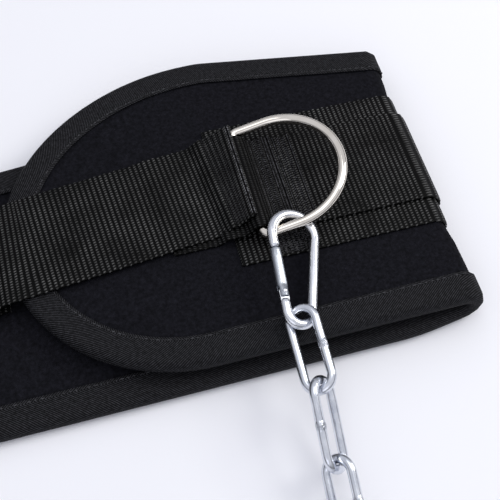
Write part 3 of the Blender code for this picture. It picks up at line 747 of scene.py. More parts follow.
@dataclass(frozen=True)
class Binding:
    """The twill tape folded round the pad's whole edge, with its row of stitches."""

    form: BeltForm
    edge_radius: float = 0.0030
    stitch_inset: float = 0.0109
    stitch_pitch: float = 0.0028
    stitch_ahead: float = 0.0008
    outline_spacing: float = 0.0029
    turned_in: float = 0.00035
    turned_width: float = 0.0006
    side_places: tuple[float, ...] = (-0.0095, -0.0070, -0.0048)
    edge_steps: int = 6
    pucker: float = 0.00012
    pucker_from: tuple[float, float] = (0.006, 0.0105)
    weld: float = 0.00002

    @property
    def wall(self) -> float:
        """Distance of the tape's inner face from the pad's middle."""
        return self.form.pad_thickness / 2 + 1.4 * self.form.gap

    def outline(self) -> list[Vector]:
        """The pad's closed outline in its own flat frame, as run and y."""
        form = self.form
        runs = form.stations()
        near = [Vector((run, form.near_edge(abs(run)))) for run in runs]
        far = [Vector((run, form.far_edge(abs(run)))) for run in reversed(runs)]
        loop = near + far
        total = 0.0
        marks = [0.0]
        for first, second in zip(loop, loop[1:] + loop[:1]):
            total += (second - first).length
            marks.append(total)
        even = []
        index = 0
        count = round(total / self.outline_spacing)
        closed = loop + loop[:1]
        for step in range(count):
            mark = total * step / count
            while marks[index + 1] < mark:
                index += 1
            share = (mark - marks[index]) / max(marks[index + 1] - marks[index], 1e-9)
            even.append(closed[index].lerp(closed[index + 1], share))
        return even

    def frames(self) -> list[tuple[Vector, Vector, float]]:
        """Outline points with their outward headings and the distance along the tape."""
        line = self.outline()
        count = len(line)
        found = []
        along = 0.0
        for index, here in enumerate(line):
            if index:
                along += (here - line[index - 1]).length
            heading = (line[(index + 1) % count] - line[index - 1]).normalized()
            heading += (line[(index + 3) % count] - line[index - 3]).normalized()
            heading.normalize()
            found.append((here, Vector((heading.y, -heading.x)), along))
        return found

    def profile(self) -> list[tuple[float, float, float]]:
        """The tape's section: distance past the pad's edge, offset from its middle, flat distance."""
        form = self.form
        wall = self.wall + form.binding_thickness / 2
        past = 2 * form.gap + form.binding_thickness / 2
        radius = self.edge_radius
        half = [(-form.binding_width, wall - self.turned_in), (-form.binding_width + self.turned_width, wall)]
        half += [(place, wall) for place in self.side_places]
        centre = past - radius
        for step in range(self.edge_steps + 1):
            turn = math.radians(90 * step / self.edge_steps)
            half.append((centre + radius * math.sin(turn), wall - radius + radius * math.cos(turn)))
        section = half + [(place, -offset) for place, offset in reversed(half)]
        flat = [0.0]
        for first, second in zip(section, section[1:]):
            flat.append(flat[-1] + math.dist(first, second))
        middle = flat[-1] / 2
        return [(place, offset, far - middle) for (place, offset), far in zip(section, flat)]

    def spot(self, here: Vector, outward: Vector, past: float, offset: float) -> Vector:
        """Point at a distance past the outline and an offset from the pad's middle."""
        place = here + outward * past
        return self.form.off(place.x, place.y, offset)

    def build(self, material: bpy.types.Material) -> bpy.types.Object:
        """Folds the tape round the outline and closes its ring."""
        frames = self.frames()
        total = frames[-1][2] + (frames[0][0] - frames[-1][0]).length
        frames = frames + [(frames[0][0], frames[0][1], total)]
        section = self.profile()
        steps = list(range(len(frames)))
        shares = [index / (len(section) - 1) for index in range(len(section))]

        def place(step: float, share: float) -> Vector:
            """Point of the tape, pulled in a little by each stitch."""
            here, outward, along = frames[int(step)]
            past, offset, _ = section[round(share * (len(section) - 1))]
            pucker = self.pucker * math.cos(2 * math.pi * along / self.stitch_pitch)
            inner = ease(-past, *self.pucker_from)
            return self.spot(here, outward, past, offset + math.copysign(pucker * inner, offset))

        def flat(step: float, share: float) -> tuple[float, float]:
            """Flat place of the same point, along the tape and across it."""
            return frames[int(step)][2], section[round(share * (len(section) - 1))][2]

        piece = lay_sheet("binding_tape", steps, shares, place, flat,
                          SheetSize(self.form.binding_thickness, sharp_degrees=70), material)
        pick(piece)
        bpy.ops.object.mode_set(mode="EDIT")
        bpy.ops.mesh.select_all(action="SELECT")
        bpy.ops.mesh.remove_doubles(threshold=self.weld)
        bpy.ops.object.mode_set(mode="OBJECT")
        seat(piece, Body.BELT, ["pad_binding"])
        return piece

    def stitches(self) -> list[Matrix]:
        """Places of the stitches on both faces of the tape."""
        frames = self.frames()
        wall = self.wall + self.form.binding_thickness
        places = []
        total = frames[-1][2]
        count = round(total / self.stitch_pitch)
        index = 0
        for step in range(count):
            mark = total * step / count
            while frames[index + 1][2] < mark:
                index += 1
            share = (mark - frames[index][2]) / (frames[index + 1][2] - frames[index][2])
            here = frames[index][0].lerp(frames[index + 1][0], share)
            outward = frames[index][1].lerp(frames[index + 1][1], share).normalized()
            ahead = Vector((-outward.y, outward.x)) * self.stitch_ahead
            for side in (1, -1):
                spot = self.spot(here, outward, -self.stitch_inset, side * wall)
                beyond = self.spot(here + ahead, outward, -self.stitch_inset, side * wall)
                lower = self.spot(here, outward, -self.stitch_inset, 0.0)
                places.append(frame_at(spot, beyond - spot, spot - lower))
        return places


def frame_at(spot: Vector, along: Vector, up: Vector) -> Matrix:
    """Matrix with X along a direction and Z close to another, at a spot."""
    ahead = along.normalized()
    side = up.cross(ahead).normalized()
    rise = ahead.cross(side)
    made = Matrix((ahead, side, rise)).transposed().to_4x4()
    made.translation = spot
    return made


def sew(
    name: str,
    places: Sequence[Matrix],
    length: float,
    thread: float,
    material: bpy.types.Material,
) -> bpy.types.Object:
    """Models one stitch and copies it to every place, as one piece.

    Args:
        name: The piece's name.
        places: Where each stitch lies.
        length: Length of a stitch.
        thread: Thickness of the thread.
        material: The thread's material.

    Returns:
        The row of stitches.
    """
    deselect_all()
    bpy.ops.mesh.primitive_uv_sphere_add(segments=6, ring_count=5, radius=0.5)
    piece = bpy.context.active_object
    piece.name = name
    shape = piece.data
    turned = Matrix.Diagonal((length, thread, thread * 0.8, 1.0)) @ Matrix.Rotation(math.radians(90), 4, "Y")
    corners = [turned @ vertex.co for vertex in shape.vertices]
    faces = [tuple(face.vertices) for face in shape.polygons]
    points = []
    rows = []
    for number, place in enumerate(places):
        start = number * len(corners)
        points.extend(tuple(place @ corner) for corner in corners)
        rows.extend(tuple(start + index for index in face) for face in faces)
    mesh = bpy.data.meshes.new(name)
    mesh.from_pydata(points, [], rows)
    mesh.materials.append(material)
    piece.data = mesh
    bpy.data.meshes.remove(shape)
    smooth(piece, 180)
    return piece


# Webbing

@dataclass(frozen=True)
class Webbing:
    """Shared sizes of all webbing: its ribs and its woven edges."""

    form: BeltForm
    rib_pitch: float = 0.00235
    rib_height: float = 0.00017
    edge_wave: float = 0.00022
    columns: int = 14
    rows_per_rib: int = 4
    edge_share: float = 0.62
    scallop_width: float = 0.0012
    selvedge_width: float = 0.0016

    def across(self, width: float, share: float, along: float) -> float:
        """Distance from the middle line, with the selvedge's small scallops."""
        edge = 1 - ease(min(share, 1 - share) * width, 0.0, self.scallop_width)
        wave = self.edge_wave * edge * math.cos(2 * math.pi * along / self.rib_pitch)
        return (share - 0.5) * (width - 2 * self.edge_wave) + math.copysign(wave, share - 0.5)

    def rib(self, along: float) -> float:
        """Height of the ribs at a distance along the webbing."""
        return self.rib_height * math.cos(2 * math.pi * along / self.rib_pitch)

    def weight(self, width: float, share: float) -> float:
        """Thickness share: the selvedge is thinner."""
        return ease(min(share, 1 - share) * width, 0.0, self.selvedge_width)

    def size(self) -> SheetSize:
        """Wall of the webbing."""
        return SheetSize(self.form.webbing_thickness - self.rib_height, self.edge_share)


@dataclass(frozen=True)
class LongBand:
    """Webbing that runs along the pad's outer face from ring to ring."""

    name: str
    node: str
    weave: Webbing
    width: float
    past_ring: float
    offset: float
    rests_on: str
    before_fold: float = 0.012
    plain_spacing: float = 0.006
    rib_fade: float = 0.004

    def middle(self, run: float) -> float:
        """Y of the band's middle line."""
        form = self.weave.form
        return -form.back_sway * (1 - ease(abs(run), 0.0, 0.6 * form.fold_x))

    def build(self, material: bpy.types.Material) -> bpy.types.Object:
        """Lays the band, with modelled ribs where it can be seen."""
        weave = self.weave
        form = weave.form
        end = form.run_at(form.ring_x - self.past_ring)
        fine_start = form.fold_x - self.before_fold
        half = even_steps(0.0, fine_start, self.plain_spacing)
        half += even_steps(fine_start, end, weave.rib_pitch / weave.rows_per_rib)[1:]
        lengths = [-run for run in reversed(half[1:])] + half

        def place(run: float, share: float) -> Vector:
            """Point of the band, with its ribs past the start of the fine part."""
            shown = ease(abs(run), fine_start, fine_start + self.rib_fade)
            y = self.middle(run) + weave.across(self.width, share, run if shown else 0.0)
            return form.off(run, y, self.offset + shown * weave.rib(run))

        piece = lay_sheet(
            self.name, lengths, even_shares(weave.columns), place,
            lambda run, share: (run, (share - 0.5) * self.width),
            weave.size(), material, lambda run, share: weave.weight(self.width, share),
        )
        seat(piece, Body.BELT, [self.node])
        return piece


def path_frames(points: Sequence[Vector], spacing: float) -> list[tuple[Vector, Vector, float]]:
    """Even points on a smooth curve through points, with normals and distances.

    Args:
        points: Places in a plane, as distance and height.
        spacing: Distance between the points found.

    Returns:
        Point, normal and distance along, for each.
    """
    dense = []
    last = len(points) - 1
    for span in range(last):
        before, first = points[max(span - 1, 0)], points[span]
        second, after = points[span + 1], points[min(span + 2, last)]
        size = (second - first).length
        into = (second - before).normalized() * size if span else (second - first)
        away = (after - first).normalized() * size if span < last - 1 else (second - first)
        for step in range(SPAN_STEPS):
            share = step / SPAN_STEPS
            square, cube = share * share, share ** 3
            dense.append(first * (2 * cube - 3 * square + 1) + into * (cube - 2 * square + share)
                         + second * (3 * square - 2 * cube) + away * (cube - square))
    dense.append(points[-1].copy())
    marks = [0.0]
    for first, second in zip(dense, dense[1:]):
        marks.append(marks[-1] + (second - first).length)
    count = max(2, round(marks[-1] / spacing))
    found = []
    index = 0
    for step in range(count + 1):
        mark = marks[-1] * step / count
        while index < len(dense) - 2 and marks[index + 1] < mark:
            index += 1
        share = (mark - marks[index]) / max(marks[index + 1] - marks[index], 1e-9)
        here = dense[index].lerp(dense[index + 1], share)
        ahead = dense[min(index + 2, len(dense) - 1)] - dense[max(index - 1, 0)]
        normal = Vector((-ahead.y, ahead.x)).normalized()
        found.append((here, normal, mark))
    return found


@dataclass(frozen=True)
class RingTab:
    """Short webbing that goes over a D-ring's bar and is sewn down on both sides of it."""

    side: int
    weave: Webbing
    hump_span: tuple[float, float] = (0.15, 1.7)
    line_spacing: float = 0.0024
    sewn_half: float = 0.0235
    row_half: float = 0.0237
    herringbone_columns: tuple[float, ...] = (0.0103, 0.0225)
    herringbone_half: float = 0.0012
    herringbone_pitch: float = 0.00125
    herringbone_lean: float = 0.75
    rows: tuple[float, ...] = (0.0068, 0.0138, 0.0152, 0.0166, 0.0190, 0.0263)
    row_pitch: float = 0.0013
    row_stagger: float = 0.0006
    thread_rise: float = 0.00012
    darned_along: tuple[float, float, float] = (0.0035, 0.0205, 0.0010)
    darned_across: tuple[float, float, float] = (-0.0362, -0.0268, 0.0011)
    darned_turn: float = 0.9
    darned_stray: float = 0.0004
    darned_rise: float = 0.0001
    darned_seed: int = 7

    def height(self, along: float) -> float:
        """Height of the tab's middle, along metres outward from the ring's bar."""
        form = self.weave.form
        flat = form.front_height + form.raised_offset + form.webbing_thickness + form.gap
        on_pad = form.front_height + form.wide_offset
        crest = form.ring_height + form.ring_wire / 2 + form.gap + form.webbing_thickness / 2
        start, end = self.hump_span
        hump = 1 - ease(abs(along), start * form.ring_wire, end * form.ring_wire)
        base = blend(flat, on_pad, ease(-along, form.step_end, form.step_end + form.slope))
        return base + (crest - flat) * hump

    def seams(self) -> list[Matrix]:
        """Places of the herringbone columns and the fine rows that hold the tab beside the bar."""
        form = self.weave.form
        places = []

        def add(along: float, y: float, ahead_along: float, ahead_y: float) -> None:
            """Adds a stitch on the tab, or on the raised webbing past the tab's end."""
            inside = along < form.tab_before_ring - self.row_stagger
            flat = form.front_height + form.raised_offset
            height = self.height(along) if inside else flat
            height += form.webbing_thickness / 2 + self.thread_rise
            spot = Vector((self.side * (form.ring_x + along), y, height))
            ahead = Vector((self.side * ahead_along, ahead_y, 0))
            places.append(frame_at(spot, ahead, Vector((0, 0, 1))))

        for column in self.herringbone_columns:
            for y in even_steps(-self.sewn_half, self.sewn_half, self.herringbone_pitch):
                add(column - self.herringbone_half, y, 1.0, self.herringbone_lean)
                add(column + self.herringbone_half, y, 1.0, -self.herringbone_lean)
        for number, along in enumerate(self.rows):
            for y in even_steps(-self.row_half, self.row_half, self.row_pitch):
                add(along, y + (self.row_stagger if number % 2 else 0.0), 0.0, 1.0)
        return places

    def darning(self) -> list[Matrix]:
        """Places of the short crossing stitches on the wide webbing's near strip, below the ring."""
        form = self.weave.form
        height = form.front_height + form.wide_offset + form.webbing_thickness / 2 + self.darned_rise
        chance = random.Random(self.darned_seed)
        places = []
        for along in even_steps(*self.darned_along):
            for y in even_steps(*self.darned_across):
                turn = chance.uniform(-self.darned_turn, self.darned_turn)
                stray = chance.uniform(-self.darned_stray, self.darned_stray)
                spot = Vector((self.side * (form.ring_x + along + stray), y, height))
                places.append(frame_at(spot, Vector((math.cos(turn), math.sin(turn), 0)), Vector((0, 0, 1))))
        return places

    def build(self, material: bpy.types.Material) -> bpy.types.Object:
        """Lays the tab over the bar."""
        weave = self.weave
        form = weave.form
        word = side_word(self.side)
        steps = even_steps(-form.tab_past_ring, form.tab_before_ring, self.line_spacing)
        line = [Vector((along, self.height(along))) for along in steps]
        frames = path_frames(line, weave.rib_pitch / weave.rows_per_rib)

        def place(step: float, share: float) -> Vector:
            """Point of the tab, with its ribs."""
            here, normal, along = frames[int(step)]
            spot = here + normal * weave.rib(along)
            y = weave.across(form.narrow_width, share, along)
            return Vector((self.side * (form.ring_x + spot.x), y, spot.y))

        piece = lay_sheet(
            f"tab_webbing_{word}", list(range(len(frames))), even_shares(weave.columns), place,
            lambda step, share: (frames[int(step)][2], (share - 0.5) * form.narrow_width),
            weave.size(), material, lambda step, share: weave.weight(form.narrow_width, share),
        )
        seat(piece, Body.BELT, [f"ring_tab_{word}"])
        return piece


@dataclass(frozen=True)
class Strap:
    """Webbing from its sewn end over the ring's bar to the clasp, a little askew."""

    side: int
    tab: RingTab
    end_from_ring: float = 0.001
    offset_y: float = 0.0053
    skew: float = math.radians(4.9)
    fold_back: float = 0.0095
    clasp_length: float = 0.034
    clasp_bar: float = 0.0045
    clasp_thickness: float = 0.003
    clasp_height: float = 0.0140
    past_bar: tuple[tuple[float, float], ...] = ((0.7, 0.0009), (2.2, 0.0050))
    step_rise: float = 0.0004
    resting_share: float = 0.8
    search_spacing: float = 0.0002
    row_half: float = 0.0238
    row_pitch: float = 0.0013
    row_stagger: float = 0.0006
    skew_start: tuple[float, float] = (0.002, 0.012)
    skew_end: tuple[float, float] = (0.098, 0.108)
    bar_steps: int = 4

    def middle(self, along: float) -> float:
        """Y of the strap's middle line."""
        return self.offset_y - math.tan(self.skew) * min(-along, self.tab.weave.form.ring_from_tip)

    def line(self) -> list[Vector]:
        """The strap's middle from its sewn end to the clasp and round its bar, as along and height."""
        form = self.tab.weave.form
        lift = form.webbing_thickness + form.gap
        crest = self.tab.height(0.0) + lift
        points = [Vector((-self.end_from_ring, crest))]
        points += [Vector((-wires * form.ring_wire, crest - drop)) for wires, drop in self.past_bar]
        step = -form.step_end
        points.append(Vector((step, self.tab.height(step) + lift + self.step_rise)))
        slump = step - form.slope
        points.append(Vector((slump, self.tab.height(slump) + lift)))
        points.append(Vector((-form.tab_past_ring, form.front_height + form.wide_offset + lift)))
        on_pad = form.front_height + form.wide_offset + 2 * form.gap
        resting = points[-1].x - form.slope
        points.append(Vector((resting, blend(points[-1].y, on_pad, self.resting_share))))
        half_binding = form.pad_thickness / 2 + 1.4 * form.gap + form.binding_thickness
        over_tip = form.front_height - form.tip_drop + half_binding
        over_tip += form.webbing_thickness / 2 + form.gap
        points.append(Vector((-form.ring_from_tip - form.binding_thickness - form.gap, over_tip)))
        radius = (self.clasp_thickness + form.webbing_thickness) / 2 + form.gap
        inner = self.clasp_length / 2 - self.clasp_bar
        points.append(Vector((inner + self.clasp_bar - form.ring_x, self.clasp_height + radius)))
        for step in range(self.bar_steps + 1):
            turn = math.pi * step / self.bar_steps
            points.append(Vector((inner - radius * math.sin(turn) - form.ring_x,
                                  self.clasp_height + radius * math.cos(turn))))
        points.append(Vector((inner + self.fold_back - form.ring_x, self.clasp_height - radius)))
        return points

    def spot(self, here: Vector, along: float, y: float) -> Vector:
        """Point of the strap, with its rows turned square to its own length."""
        form = self.tab.weave.form
        shown = ease(-along, *self.skew_start) * (1 - ease(-along, *self.skew_end))
        askew = y * math.tan(self.skew) * shown
        return Vector((self.side * (form.ring_x + here.x - askew), self.middle(along) + y, here.y))

    def sewn_rows(self, marks: Sequence[float]) -> list[Matrix]:
        """Places of rows of stitches across the strap.

        Args:
            marks: Distances of the rows from the strap's sewn end.

        Returns:
            A place for every stitch.
        """
        weave = self.tab.weave
        form = weave.form
        frames = path_frames(self.line(), self.search_spacing)
        rise = form.webbing_thickness / 2 + 0.5 * weave.rib_height
        places = []
        for number, mark in enumerate(marks):
            here, normal, _ = min(frames, key=lambda frame: abs(frame[2] - mark))
            up = -normal if normal.y < 0 else normal
            for y in even_steps(-self.row_half, self.row_half, self.row_pitch):
                shifted = y + (self.row_stagger if number % 2 else 0.0)
                spot = self.spot(here + up * rise, here.x, shifted)
                ahead = self.spot(here + up * rise, here.x, shifted + 0.001) - spot
                places.append(frame_at(spot, ahead, Vector((self.side * up.x, 0, up.y))))
        return places

    def build(self, material: bpy.types.Material) -> bpy.types.Object:
        """Lays the strap with its ribs square to its own length."""
        weave = self.tab.weave
        form = weave.form
        word = side_word(self.side)
        frames = path_frames(self.line(), weave.rib_pitch / weave.rows_per_rib)

        def place(step: float, share: float) -> Vector:
            """Point of the strap, with its ribs."""
            here, normal, along = frames[int(step)]
            y = weave.across(form.narrow_width, share, along)
            return self.spot(here - normal * weave.rib(along), here.x, y)

        piece = lay_sheet(
            f"strap_webbing_{word}", list(range(len(frames))), even_shares(weave.columns), place,
            lambda step, share: (frames[int(step)][2], (share - 0.5) * form.narrow_width),
            weave.size(), material, lambda step, share: weave.weight(form.narrow_width, share),
        )
        seat(piece, Body.BELT, [f"strap_{word}"])
        return piece


# Wire

class WireBender:
    """Feeds a round wire out in the XY plane as straights and bends, and closes or caps it."""

    def __init__(self, name: str, wire: float, sides: int, start: Vector, heading: float) -> None:
        """Starts with the wire's round section, square to its heading."""
        deselect_all()
        self.heading = heading
        self.wire = wire
        self.sides = sides
        self.place = start.copy()
        self.along = [0.0]
        bpy.ops.mesh.primitive_circle_add(vertices=sides, radius=wire / 2)
        self.piece = bpy.context.active_object
        self.piece.name = name
        turn = Matrix.Rotation(heading, 4, "Z") @ Matrix.Rotation(math.radians(90), 4, "Y")
        self.piece.data.transform(Matrix.Translation((start.x, start.y, 0)) @ turn)
        bpy.ops.object.mode_set(mode="EDIT")
        bpy.ops.mesh.select_all(action="SELECT")

    def ahead(self) -> Vector:
        """Unit vector of the heading."""
        return Vector((math.cos(self.heading), math.sin(self.heading), 0.0))

    def straight(self, length: float, steps: int = 1) -> "WireBender":
        """Feeds out a straight."""
        move = self.ahead() * length / steps
        for _ in range(steps):
            bpy.ops.mesh.extrude_region_move(TRANSFORM_OT_translate={"value": tuple(move)})
            self.along.append(self.along[-1] + length / steps)
        self.place += (move * steps).to_2d()
        return self

    def bend(self, radius: float, angle: float, steps: int) -> "WireBender":
        """Bends to the left by an angle about a radius."""
        side = Vector((-math.sin(self.heading), math.cos(self.heading)))
        centre = self.place + side * radius
        bpy.ops.mesh.spin(steps=steps, angle=-angle, center=(centre.x, centre.y, 0.0), axis=(0.0, 0.0, 1.0))
        for _ in range(steps):
            self.along.append(self.along[-1] + radius * angle / steps)
        spoke = self.place - centre
        self.place = centre + Matrix.Rotation(angle, 2) @ spoke
        self.heading += angle
        return self

    def rounded_end(self) -> "WireBender":
        """Closes the open end with a small dome."""
        extrude_dome(self.place.to_3d(), self.ahead(), self.wire)
        for _, depth in DOME_STEPS:
            self.along.append(self.along[-1] + self.wire * depth)
        return self

    def finish(self, closed: bool) -> bpy.types.Object:
        """Draws the UV map round and along the wire, welds the loop and smooths it."""
        bpy.ops.object.mode_set(mode="OBJECT")
        mesh = self.piece.data
        layer = flat_layer(mesh)
        round_wire = math.pi * self.wire
        for face in mesh.polygons:
            sides = [mesh.loops[index].vertex_index % self.sides for index in face.loop_indices]
            wraps = max(sides) - min(sides) > self.sides / 2 and len(sides) == 4
            for index, side in zip(face.loop_indices, sides):
                ring = min(mesh.loops[index].vertex_index // self.sides, len(self.along) - 1)
                turn = side + self.sides if wraps and side == 0 else side
                layer.data[index].uv = (round_wire * turn / self.sides, self.along[ring])
        bpy.ops.object.mode_set(mode="EDIT")
        bpy.ops.mesh.select_all(action="SELECT")
        if closed:
            bpy.ops.mesh.remove_doubles(threshold=0.00005)
        bpy.ops.mesh.normals_make_consistent(inside=False)
        bpy.ops.object.mode_set(mode="OBJECT")
        smooth(self.piece, 60)
        return self.piece


def settle(piece: bpy.types.Object, place: Matrix, side: int, material: bpy.types.Material) -> None:
    """Moves a piece's mesh to its place, mirrored for the left side, and gives it its material."""
    piece.data.transform(place)
    if side < 0:
        piece.data.transform(Matrix.Diagonal((-1, 1, 1, 1)))
        piece.data.flip_normals()
    piece.data.materials.clear()
    piece.data.materials.append(material)


@dataclass(frozen=True)
class DRing:
    """A D-ring of round wire: its bar lies under the tab and its bow is lifted."""

    side: int
    form: BeltForm
    inner_width: float = 0.052
    arm: float = 0.016
    corner: float = 0.003
    lift: float = math.radians(13.7)
    turn: float = math.radians(0.5)
    sides: int = 28

    def build(self, material: bpy.types.Material) -> bpy.types.Object:
        """Bends the ring from the middle of its bar and sets it in place."""
        word = side_word(self.side)
        half = (self.inner_width + self.form.ring_wire) / 2
        right = math.radians(90)
        bender = WireBender(f"ring_{word}", self.form.ring_wire, self.sides, Vector((0, 0)), -right)
        bender.straight(half - self.corner, 3).bend(self.corner, right, 8).straight(self.arm - self.corner, 3)
        bender.bend(half, 2 * right, 64).straight(self.arm - self.corner, 3)
        bender.bend(self.corner, right, 8).straight(half - self.corner, 3)
        piece = bender.finish(True)
        place = Matrix.Translation((self.form.ring_x, 0, self.form.ring_height))
        place = place @ Matrix.Rotation(self.turn, 4, "Z") @ Matrix.Rotation(-self.lift, 4, "Y")
        settle(piece, place, self.side, material)
        seat(piece, Body.BELT, [f"dring_{word}"])
        return piece


@dataclass(frozen=True)
class Hook:
    """A pear-shaped carabiner with a forked gate on its left leg."""

    form: BeltForm
    wire: float = 0.0046
    length: float = 0.057
    top_width: float = 0.025
    bottom_width: float = 0.0163
    top_from_ring: tuple[float, float, float] = (0.01405, -0.0225, 0.0286)
    yaw: float = math.radians(-12.8)
    pitch: float = math.radians(2.5)
    roll: float = math.radians(20.3)
    gate_start: float = 0.0182
    gate_pivot: float = 0.0385
    gate_end_gap: float = 0.0004
    tongue: float = 0.0016
    pin_radius: float = 0.0011
    pin_length: float = 0.0054
    sides: int = 24
    nose_share: float = 0.34
    gate_sides: int = 28
    gate_foot: float = 0.9
    gate_cuts: tuple[float, ...] = (0.09, 0.14, 0.19, 0.80, 0.93)
    pressed: tuple[float, float] = (0.12, 0.85)
    pressed_width: float = 1.06
    pressed_height: float = 0.72
    pressed_bevel: float = 0.00022
    pressed_bevel_from: float = math.radians(50)
    tongue_reach: float = 1.6
    tongue_bevel: float = 0.00015
    tongue_from: float = 0.2
    rivet_share: float = 1.15
    rivet_dome: float = 0.6
    rivet_edge: float = 0.0007

    @property
    def top(self) -> float:
        """Radius of the top bow's middle line."""
        return (self.top_width - self.wire) / 2

    @property
    def bottom(self) -> float:
        """Radius of the bottom bow's middle line."""
        return (self.bottom_width - self.wire) / 2

    @property
    def apart(self) -> float:
        """Distance between the bows' centres."""
        return self.length - self.wire - self.top - self.bottom

    @property
    def lean(self) -> float:
        """Lean of the legs."""
        return math.asin((self.top - self.bottom) / self.apart)

    def frame(self) -> Matrix:
        """Place of the hook: local Y runs from the top bow down, local X to the right."""
        x, y, z = self.top_from_ring
        place = Matrix.Translation((self.form.ring_x + x, y, z)) @ Matrix.Rotation(self.yaw, 4, "Z")
        place = place @ Matrix.Rotation(self.pitch, 4, "X") @ Matrix.Rotation(self.roll, 4, "Y")
        return place @ Matrix.Rotation(math.radians(180), 4, "X")

    def left_leg(self, down: float) -> Vector:
        """Point of the left leg's middle line at a distance down from the top bow."""
        start = Vector((-self.top * math.cos(self.lean), self.top + self.top * math.sin(self.lean)))
        along = Vector((math.sin(self.lean), math.cos(self.lean)))
        return start + along * (down - start.y) / along.y

    def gate_place(self) -> Matrix:
        """Matrix at the pivot: local Y runs up the leg, local Z along the pin."""
        pivot = self.left_leg(self.gate_pivot)
        up = Vector((-math.sin(self.lean), -math.cos(self.lean), 0))
        out = Vector((0, 0, 1))
        local = Matrix((up.cross(out), up, out)).transposed().to_4x4()
        local.translation = Vector((pivot.x, pivot.y, 0))
        return self.frame() @ local

    def nose(self) -> Vector:
        """Where the wire starts, a dome's height short of the gate."""
        return self.left_leg(self.gate_start - self.gate_end_gap / 2 - self.nose_share * self.wire)

    def bend_wire(self, name: str, side: int, closed: bool, material: bpy.types.Material) -> bpy.types.Object:
        """Bends the body's wire, from the nose over the top bow and round to the stub."""
        half = math.radians(180)
        leg_end = self.left_leg(self.top + self.top * math.sin(self.lean))
        heading = -math.radians(90) - self.lean
        start = leg_end if closed else self.nose()
        bender = WireBender(name, self.wire, self.sides, start, heading)
        if not closed:
            bender.straight((start - leg_end).length, 4)
        bender.bend(self.top, half + 2 * self.lean, 44)
        leg = self.apart * math.cos(self.lean)
        bender.straight(leg, 8).bend(self.bottom, half - 2 * self.lean, 32)
        if closed:
            bender.straight(leg, 8)
            piece = bender.finish(True)
        else:
            below = self.gate_pivot + self.wire / 2 + self.gate_end_gap
            stub = self.left_leg(below + self.nose_share * self.wire)
            bender.straight((bender.place - stub).length, 3)
            bender.rounded_end()
            piece = bender.finish(False)
            self.cap_nose(piece)
        settle(piece, self.frame(), side, material)
        return piece

    def cap_nose(self, piece: bpy.types.Object) -> None:
        """Domes the nose, which is the wire's first ring."""
        pick(piece)
        bpy.ops.object.mode_set(mode="EDIT")
        bpy.ops.mesh.select_all(action="DESELECT")
        bpy.ops.object.mode_set(mode="OBJECT")
        for edge in piece.data.edges:
            if max(edge.vertices) < self.sides:
                edge.select = True
        for index in range(self.sides):
            piece.data.vertices[index].select = True
        bpy.ops.object.mode_set(mode="EDIT")
        bpy.ops.mesh.select_mode(type="EDGE")
        down = Vector((math.sin(self.lean), math.cos(self.lean), 0))
        extrude_dome(self.nose().to_3d(), down, self.wire)
        bpy.ops.mesh.select_mode(type="VERT")
        bpy.ops.mesh.select_all(action="SELECT")
        bpy.ops.mesh.normals_make_consistent(inside=False)
        bpy.ops.object.mode_set(mode="OBJECT")

    def build_tongue(self, material: bpy.types.Material) -> bpy.types.Object:
        """The flat tongue of the stub that the gate's fork straddles."""
        radius = self.wire / 2
        deselect_all()
        bpy.ops.mesh.primitive_cylinder_add(vertices=32, radius=radius * 0.98, depth=self.tongue)
        piece = bpy.context.active_object
        piece.name = "hook_tongue"
        bpy.ops.object.mode_set(mode="EDIT")
        bpy.ops.mesh.select_all(action="DESELECT")
        bpy.ops.object.mode_set(mode="OBJECT")
        for vertex in piece.data.vertices:
            vertex.select = vertex.co.y < -self.tongue_from * radius
            if vertex.select:
                vertex.co.y -= self.tongue_reach * radius
        bevel = piece.modifiers.new("edge", "BEVEL")
        bevel.width = self.tongue_bevel
        bevel.segments = 2
        apply_all(piece)
        smooth(piece, 40)
        map_from_above(piece)
        settle(piece, self.gate_place(), 1, material)
        seat(piece, Body.BELT)
        return piece

    def build_gate(self, material: bpy.types.Material) -> bpy.types.Object:
        """The gate: a round bar with a stepped collar, a forked end and its rivet."""
        radius = self.wire / 2
        top = (self.gate_pivot - self.gate_start - self.gate_end_gap / 2) / math.cos(self.lean)
        deselect_all()
        foot = radius * self.gate_foot
        bpy.ops.mesh.primitive_cylinder_add(vertices=self.gate_sides, radius=radius, depth=top + foot,
                                            location=(0, (top - foot) / 2, 0),
                                            rotation=(math.radians(90), 0, 0))
        piece = bpy.context.active_object
        piece.name = "gate_bar"
        bpy.ops.object.transform_apply(location=True, rotation=True, scale=True)
        bpy.ops.object.mode_set(mode="EDIT")
        for cut in self.gate_cuts:
            bpy.ops.mesh.select_all(action="SELECT")
            bpy.ops.mesh.bisect(plane_co=(0, top * cut, 0), plane_no=(0, 1, 0))
        bpy.ops.object.mode_set(mode="OBJECT")
        for vertex in piece.data.vertices:
            share = vertex.co.y / top
            if self.pressed[0] < share < self.pressed[1]:
                level = self.pressed_height * radius
                vertex.co.x *= self.pressed_width
                vertex.co.z = max(min(vertex.co.z, level), -level)
        slot = piece.modifiers.new("slot", "BOOLEAN")
        bpy.ops.mesh.primitive_cube_add(size=1)
        cutter = bpy.context.active_object
        cutter.data.transform(Matrix.Diagonal((3 * radius, 2 * (radius + self.gate_end_gap),
                                               self.tongue + 2 * self.form.gap, 1)))
        slot.object = cutter
        slot.operation = "DIFFERENCE"
        edge = piece.modifiers.new("edge", "BEVEL")
        edge.width = self.pressed_bevel
        edge.segments = 2
        edge.limit_method = "ANGLE"
        edge.angle_limit = self.pressed_bevel_from
        apply_all(piece)
        bpy.data.objects.remove(cutter)
        map_from_above(piece)
        smooth(piece, 40)
        settle(piece, self.gate_place(), 1, material)
        seat(piece, Body.GATE, ["carabiner_gate"])
        return piece

